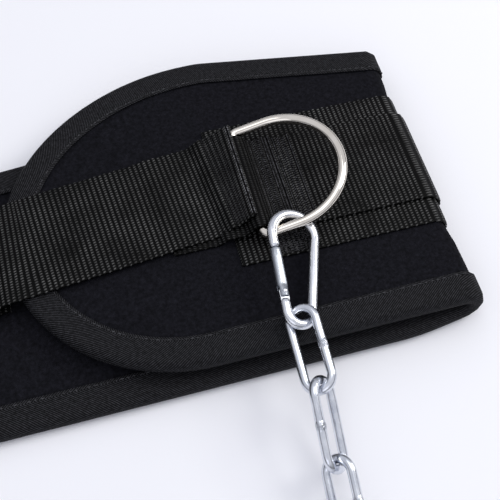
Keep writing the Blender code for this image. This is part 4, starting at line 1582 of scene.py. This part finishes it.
    def build_rivet(self, material: bpy.types.Material) -> bpy.types.Object:
        """The rivet through the fork, with domed heads."""
        deselect_all()
        radius = self.pin_radius * self.rivet_share
        bpy.ops.mesh.primitive_uv_sphere_add(segments=24, ring_count=16, radius=radius)
        piece = bpy.context.active_object
        piece.name = "gate_rivet"
        for vertex in piece.data.vertices:
            edge = math.copysign(self.pin_length / 2 - self.rivet_edge, vertex.co.z)
            vertex.co.z = edge + vertex.co.z * self.rivet_dome
        map_from_above(piece)
        smooth(piece, 60)
        settle(piece, self.gate_place(), 1, material)
        seat(piece, Body.GATE)
        return piece


# Chain

@dataclass(frozen=True)
class Chain:
    """Welded links laid from the right hook round to the left one."""

    form: BeltForm
    wire: float = 0.004
    inner_length: float = 0.032
    inner_width: float = 0.008
    links_per_side: int = 12
    roll: float = math.radians(45)
    first_rolls: tuple[float, ...] = (math.radians(29.7), math.radians(-46.5), math.radians(42))
    bend_steps: int = 6
    search_step: float = 0.002
    search_rounds: int = 40
    reach_limits: tuple[float, float] = (0.001, 0.2)
    weld_half: float = 0.0011
    weld_swell: float = 0.10
    weld_ripple: float = 0.07
    ripple_start: float = 0.6
    sides: int = 20
    route: tuple[tuple[float, float, float], ...] = (
        (0.00370, -0.06872, 0.02642),
        (0.00283, -0.10029, 0.02360),
        (0.00098, -0.13036, 0.01376),
        (-0.00096, -0.16101, 0.00690),
        (-0.00200, -0.19270, 0.00690),
    )

    @property
    def half_width(self) -> float:
        """Half of a link's width, at the wire's middle."""
        return (self.inner_width + self.wire) / 2

    @property
    def straight(self) -> float:
        """Half of the straight part of a link's side."""
        return (self.inner_length + self.wire) / 2 - self.half_width

    @property
    def weld_at(self) -> float:
        """Distance along the wire at which the weld lies."""
        return self.straight + math.pi * self.half_width + self.straight

    def curve_point(self, points: Sequence[Vector], place: float) -> Vector:
        """Point on a Catmull-Rom curve through points; place counts spans."""
        last = len(points) - 1
        span = min(int(place), last - 1)
        share = place - span
        before, after = points[max(span - 1, 0)], points[min(span + 2, last)]
        first, second = points[span], points[span + 1]
        one = (second - before) / 2
        two = before - first * 2.5 + second * 2 - after / 2
        three = (after - before) / 2 + (first - second) * 1.5
        return first + one * share + two * share ** 2 + three * share ** 3

    def lay(self, reach: float, pitch: float) -> list[Vector]:
        """Places where links meet, for a straight stretch of a length."""
        points = [Vector((self.form.ring_x + x, y, z)) for x, y, z in self.route]
        start = points[-1]
        for step in range(self.bend_steps + 2):
            angle = math.radians(90) * step / self.bend_steps
            across = start.x * math.cos(angle)
            points.append(Vector((across, start.y - reach - start.x * math.sin(angle), start.z)))
        joints = [self.curve_point(points, 0.0)]
        place = 0.0
        while len(joints) <= self.links_per_side:
            here = self.curve_point(points, place)
            while (here - joints[-1]).length < pitch and place < len(points) - 1.001:
                place += self.search_step
                here = self.curve_point(points, place)
            joints.append(joints[-1] + (here - joints[-1]).normalized() * pitch)
        return joints

    def joints(self) -> list[Vector]:
        """Joints of the right half and the first one past the middle."""
        pitch = self.inner_length - self.form.gap
        low, high = self.reach_limits
        for _ in range(self.search_rounds):
            reach = (low + high) / 2
            found = self.lay(reach, pitch)
            if found[-1].x < pitch / 2:
                low = reach
            else:
                high = reach
        return found + [Vector((-found[-1].x, found[-1].y, found[-1].z))]

    def link_place(self, start: Vector, end: Vector, roll: float) -> Matrix:
        """Matrix of a link between two joints, rolled about its length."""
        along = (end - start).normalized()
        across = Vector((0, 0, 1)).cross(along).normalized()
        turned = across * math.cos(roll) + along.cross(across) * math.sin(roll)
        place = Matrix((along, turned, along.cross(turned))).transposed().to_4x4()
        place.translation = (start + end) / 2
        return place

    def model_link(self) -> bpy.types.Object:
        """Bends one link and raises its weld."""
        half = math.radians(180)
        bender = WireBender("link_model", self.wire, self.sides, Vector((0, -self.half_width)), 0.0)
        bender.straight(self.straight, 6).bend(self.half_width, half, 22)
        bender.straight(2 * self.straight, 26).bend(self.half_width, half, 22).straight(self.straight, 6)
        piece = bender.finish(True)
        layer = piece.data.uv_layers["flat"].data
        along = {loop.vertex_index: layer[loop.index].uv[1] for loop in piece.data.loops}
        for vertex in piece.data.vertices:
            off = (along[vertex.index] - self.weld_at) / self.weld_half
            if abs(off) < 3 and vertex.co.y > 0:
                middle = Vector((vertex.co.x, self.half_width, 0))
                spoke = vertex.co - middle
                ripple = math.sin(3 * math.atan2(spoke.z, spoke.y) + self.ripple_start)
                lump = self.weld_swell + self.weld_ripple * ripple
                vertex.co = middle + spoke * (1 + lump * math.exp(-off * off))
        return piece

    def build(self, material: bpy.types.Material) -> list[bpy.types.Object]:
        """Copies the link to every place along the chain."""
        model = self.model_link()
        joints = self.joints()
        made = []
        for index in range(self.links_per_side + 1):
            roll = self.roll if index % 2 == 0 else -self.roll
            if index < len(self.first_rolls):
                roll = self.first_rolls[index]
            place = self.link_place(joints[index], joints[index + 1], roll)
            for side in (1, -1):
                number = index + 1 if side > 0 else 2 * self.links_per_side + 1 - index
                if side < 0 and index == self.links_per_side:
                    continue
                piece = bpy.data.objects.new(f"link_{number:02d}", model.data.copy())
                bpy.context.scene.collection.objects.link(piece)
                flip = Matrix.Identity(4)
                if index % 3 == 1:
                    flip = Matrix.Rotation(math.radians(180), 4, "Z")
                settle(piece, place @ flip, side, material)
                seat(piece, Body.BELT, [f"chain_link_{number:02d}"])
                made.append(piece)
        bpy.data.objects.remove(model)
        return made


@dataclass(frozen=True)
class Clasp:
    """Plain steel plate with a slot at each end, behind the photo's edge."""

    strap: Strap
    side_bar: float = 0.004
    slot: float = 0.006
    corner: float = 0.004
    edge: float = 0.0006

    def build(self, material: bpy.types.Material) -> bpy.types.Object:
        """Cuts the plate and softens its edges."""
        strap = self.strap
        form = strap.tab.weave.form
        width = form.narrow_width + 2 * self.side_bar + 4 * form.gap
        deselect_all()
        bpy.ops.mesh.primitive_cube_add(size=1)
        piece = bpy.context.active_object
        piece.name = "clasp_plate"
        piece.data.transform(Matrix.Diagonal((strap.clasp_length, width, strap.clasp_thickness, 1)))
        upright = piece.modifiers.new("corners", "BEVEL")
        upright.width = self.corner
        upright.segments = 6
        upright.limit_method = "WEIGHT"
        layer = piece.data.attributes.new("bevel_weight_edge", "FLOAT", "EDGE")
        for edge in piece.data.edges:
            first, second = (piece.data.vertices[index].co for index in edge.vertices)
            stands = abs(first.z - second.z) > 0.5 * strap.clasp_thickness
            layer.data[edge.index].value = 1.0 if stands else 0.0
        apply_all(piece)
        for side in (-1, 1):
            deselect_all()
            bpy.ops.mesh.primitive_cube_add(size=1)
            cutter = bpy.context.active_object
            x = side * (strap.clasp_length / 2 - strap.clasp_bar - self.slot / 2)
            cutter.data.transform(Matrix.Translation((x, 0, 0)) @ Matrix.Diagonal(
                (self.slot, width - 2 * self.side_bar, 3 * strap.clasp_thickness, 1)))
            cut = piece.modifiers.new("slot", "BOOLEAN")
            cut.object = cutter
            cut.operation = "DIFFERENCE"
            apply_all(piece)
            bpy.data.objects.remove(cutter)
        soft = piece.modifiers.new("edge", "BEVEL")
        soft.width = self.edge
        soft.segments = 3
        soft.limit_method = "ANGLE"
        apply_all(piece)
        smooth(piece, 40)
        map_from_above(piece)
        place = Matrix.Translation((0, strap.middle(-form.ring_from_tip), strap.clasp_height))
        settle(piece, place, 1, material)
        seat(piece, Body.BELT, ["strap_clasp"])
        return piece


# Studio

@dataclass(frozen=True)
class SoftLight:
    """A soft square light that points at an aim."""

    name: str
    spot: tuple[float, float, float]
    size: float
    power: float
    colour: str
    aim: tuple[float, float, float] = (0.13, 0.0, 0.0)

    def build(self) -> None:
        """Hangs the light."""
        light = bpy.data.lights.new(self.name, "AREA")
        light.shape = "SQUARE"
        light.size = self.size
        light.energy = self.power
        light.color = linear(self.colour)[:3]
        holder = bpy.data.objects.new(self.name, light)
        bpy.context.scene.collection.objects.link(holder)
        holder.location = self.spot
        way = Vector(self.aim) - Vector(self.spot)
        holder.rotation_euler = way.to_track_quat("-Z", "Y").to_euler()


@dataclass(frozen=True)
class Studio:
    """White floor, soft lights and the photo's camera."""

    camera_at: tuple[float, float, float] = (0.06476, -0.2162, 0.36691)
    azimuth: float = math.radians(19.046)
    elevation: float = math.radians(60.471)
    roll: float = math.radians(3.764)
    lens: float = 64.73
    floor_colour: str = "#F4F4F8"
    floor_size: float = 60.0
    room_colour: str = "#F4F6FF"
    lights: tuple[SoftLight, ...] = (
        SoftLight("key", (1.15, 0.05, 0.85), 0.6, 6.5, "#FFFDF8"),
        SoftLight("top", (0.2, 0.15, 1.4), 1.0, 3.2, "#FFFFFF"),
        SoftLight("fill", (-0.5, -1.1, 0.8), 0.9, 1.6, "#F2F4FF", (0.1, 0.0, 0.0)),
    )

    def build_camera(self) -> None:
        """Sets the camera where the photo was taken from."""
        ahead = Vector((math.sin(self.azimuth) * math.cos(self.elevation),
                        math.cos(self.azimuth) * math.cos(self.elevation), -math.sin(self.elevation)))
        right = ahead.cross(Vector((0, 0, 1))).normalized()
        up = right.cross(ahead)
        across = math.cos(self.roll) * right + math.sin(self.roll) * up
        rise = -math.sin(self.roll) * right + math.cos(self.roll) * up
        camera = bpy.data.cameras.new("photo_camera")
        camera.lens = self.lens
        camera.sensor_width = 36.0
        camera.sensor_fit = "HORIZONTAL"
        camera.clip_start = 0.01
        holder = bpy.data.objects.new("photo_camera", camera)
        bpy.context.scene.collection.objects.link(holder)
        holder.matrix_world = Matrix((across, rise, -ahead)).transposed().to_4x4()
        holder.location = self.camera_at
        bpy.context.scene.camera = holder

    def build_floor(self) -> None:
        """Lays the floor."""
        deselect_all()
        bpy.ops.mesh.primitive_plane_add(size=self.floor_size)
        floor = bpy.context.active_object
        floor.name = "studio_floor"
        material = bpy.data.materials.new("white_paper_floor")
        material.use_nodes = True
        shader = material.node_tree.nodes["Principled BSDF"]
        shader.inputs["Base Color"].default_value = linear(self.floor_colour)
        shader.inputs["Roughness"].default_value = 0.9
        shader.inputs["Specular IOR Level"].default_value = 0.1
        floor.data.materials.append(material)

    def build_lights(self) -> None:
        """A large soft key from the right, one above, a fill from the left and a pale room."""
        for light in self.lights:
            light.build()
        world = bpy.data.worlds.new("studio")
        world.use_nodes = True
        tree = world.node_tree
        backdrop = tree.nodes["Background"]
        way = add_node(tree, "ShaderNodeTexCoord").outputs["Generated"]
        parts = add_node(tree, "ShaderNodeSeparateXYZ", None, None, {0: way})
        height = add_node(tree, "ShaderNodeMapRange", {"interpolation_type": "SMOOTHSTEP"},
                          {"From Min": 0.12, "From Max": 0.62, "To Min": 0.24, "To Max": 0.77},
                          {"Value": parts.outputs[2]})
        tree.links.new(height.outputs[0], backdrop.inputs["Strength"])
        backdrop.inputs["Color"].default_value = linear(self.room_colour)
        bpy.context.scene.world = world
        bpy.context.scene.view_settings.view_transform = "Standard"

    def build(self) -> None:
        """Builds the camera, the floor and the lights."""
        self.build_camera()
        self.build_floor()
        self.build_lights()


@dataclass(frozen=True)
class StitchSizes:
    """Lengths of the stitches, their thread, and the straps' rows from their sewn ends."""

    thread: float = 0.0006
    binding: float = 0.0021
    band: float = 0.0010
    ridge: float = 0.0012
    tab: float = 0.0018
    darned: float = 0.0014
    band_rows: tuple[float, float, float] = (0.0046, 0.0130, 0.0012)
    ridge_rows: tuple[float, ...] = (0.0007, 0.0018)


@dataclass
class DipBelt:
    """The whole belt: cloth layers, rings, hooks and chain."""

    form: BeltForm
    stitch: StitchSizes = StitchSizes()

    def report(self, pieces: Sequence[bpy.types.Object]) -> None:
        """Logs each piece with its number of faces."""
        for piece in pieces:
            LOG.info("%s: %d faces", piece.name, len(piece.data.polygons))

    def build_cloth(self) -> list[bpy.types.Object]:
        """Pad, binding and all webbing."""
        form = self.form
        weave = Webbing(form)
        webbing = RibbedWebbing("nylon_webbing").material()
        # The tab's webbing: closer threads and a dimmer painted highlight on their crests.
        close = RibbedWebbing("nylon_webbing_close", thread_pitch=0.00105, thread="#434343")
        tab_webbing = close.material()
        thread = Thread("polyester_thread").material()
        light_thread = Thread("polyester_thread_light", "#707073").material()
        dark_thread = Thread("polyester_thread_dark", "#2C2C2E").material()
        binding = Binding(form)
        made = [Pad(form).build(KnitNeoprene().material()), binding.build(TwillTape().material())]
        stitch = self.stitch
        row = sew("binding_stitches", binding.stitches(), stitch.binding, stitch.thread, thread)
        seat(row, Body.BELT)
        made.append(row)
        made.append(LongBand("wide_webbing", "webbing_wide", weave, form.wide_width, form.wide_past_ring,
                             form.wide_offset, "neoprene_pad").build(webbing))
        made.append(LongBand("raised_webbing", "webbing_raised", weave, form.narrow_width,
                             form.raised_past_ring, form.raised_offset, "wide_webbing").build(webbing))
        for side in (1, -1):
            word = side_word(side)
            tab = RingTab(side, weave)
            made.append(tab.build(tab_webbing))
            strap = Strap(side, tab)
            made.append(strap.build(webbing))
            band = strap.sewn_rows(even_steps(*stitch.band_rows))
            ridge = strap.sewn_rows(stitch.ridge_rows)
            for name, places, length, colour in (
                (f"strap_stitches_{word}", band, stitch.band, dark_thread),
                (f"strap_end_stitches_{word}", ridge, stitch.ridge, light_thread),
                (f"tab_stitches_{word}", tab.seams(), stitch.tab, thread),
                (f"darning_{word}", tab.darning(), stitch.darned, thread),
            ):
                row = sew(name, places, length, stitch.thread, colour)
                seat(row, Body.BELT)
                made.append(row)
        return made

    def build_hardware(self) -> list[bpy.types.Object]:
        """Rings, hooks, chain and clasp."""
        form = self.form
        nickel = PlatedSteel("nickel_plated_steel", "#F4EFE6", "#D8D0C3", (0.03, 0.08), 0.10).material()
        zinc = PlatedSteel("zinc_plated_steel", "#F2F3F6", "#C8CCD3", (0.12, 0.30), 0.20).material()
        chain = Chain(form)
        welded = PlatedSteel("zinc_plated_chain", "#F2F4F8", "#BEC3CE", (0.08, 0.28), 0.30,
                             chain.weld_at).material()
        hook = Hook(form)
        body = hook.bend_wire("hook_right", 1, False, zinc)
        seat(body, Body.BELT, ["carabiner_right"])
        plain = hook.bend_wire("hook_left", -1, True, zinc)
        seat(plain, Body.BELT, ["carabiner_left"])
        made = [DRing(1, form).build(nickel), DRing(-1, form).build(nickel), body, plain]
        pressed = PlatedSteel("zinc_plated_pressed_gate", "#B4B8BE", "#868B94", (0.26, 0.46), 0.7).material()
        made += [hook.build_tongue(zinc), hook.build_gate(pressed), hook.build_rivet(zinc)]
        made.append(Clasp(Strap(1, RingTab(1, Webbing(form)))).build(nickel))
        return made + chain.build(welded)

    def build(self) -> None:
        """Builds every piece of the belt."""
        self.report(self.build_cloth())
        self.report(self.build_hardware())


def main() -> None:
    """Builds the belt and its studio."""
    logging.basicConfig(level=logging.INFO, format="%(name)s: %(message)s")
    DipBelt(BeltForm()).build()
    Studio().build()


if __name__ == "__main__":
    main()
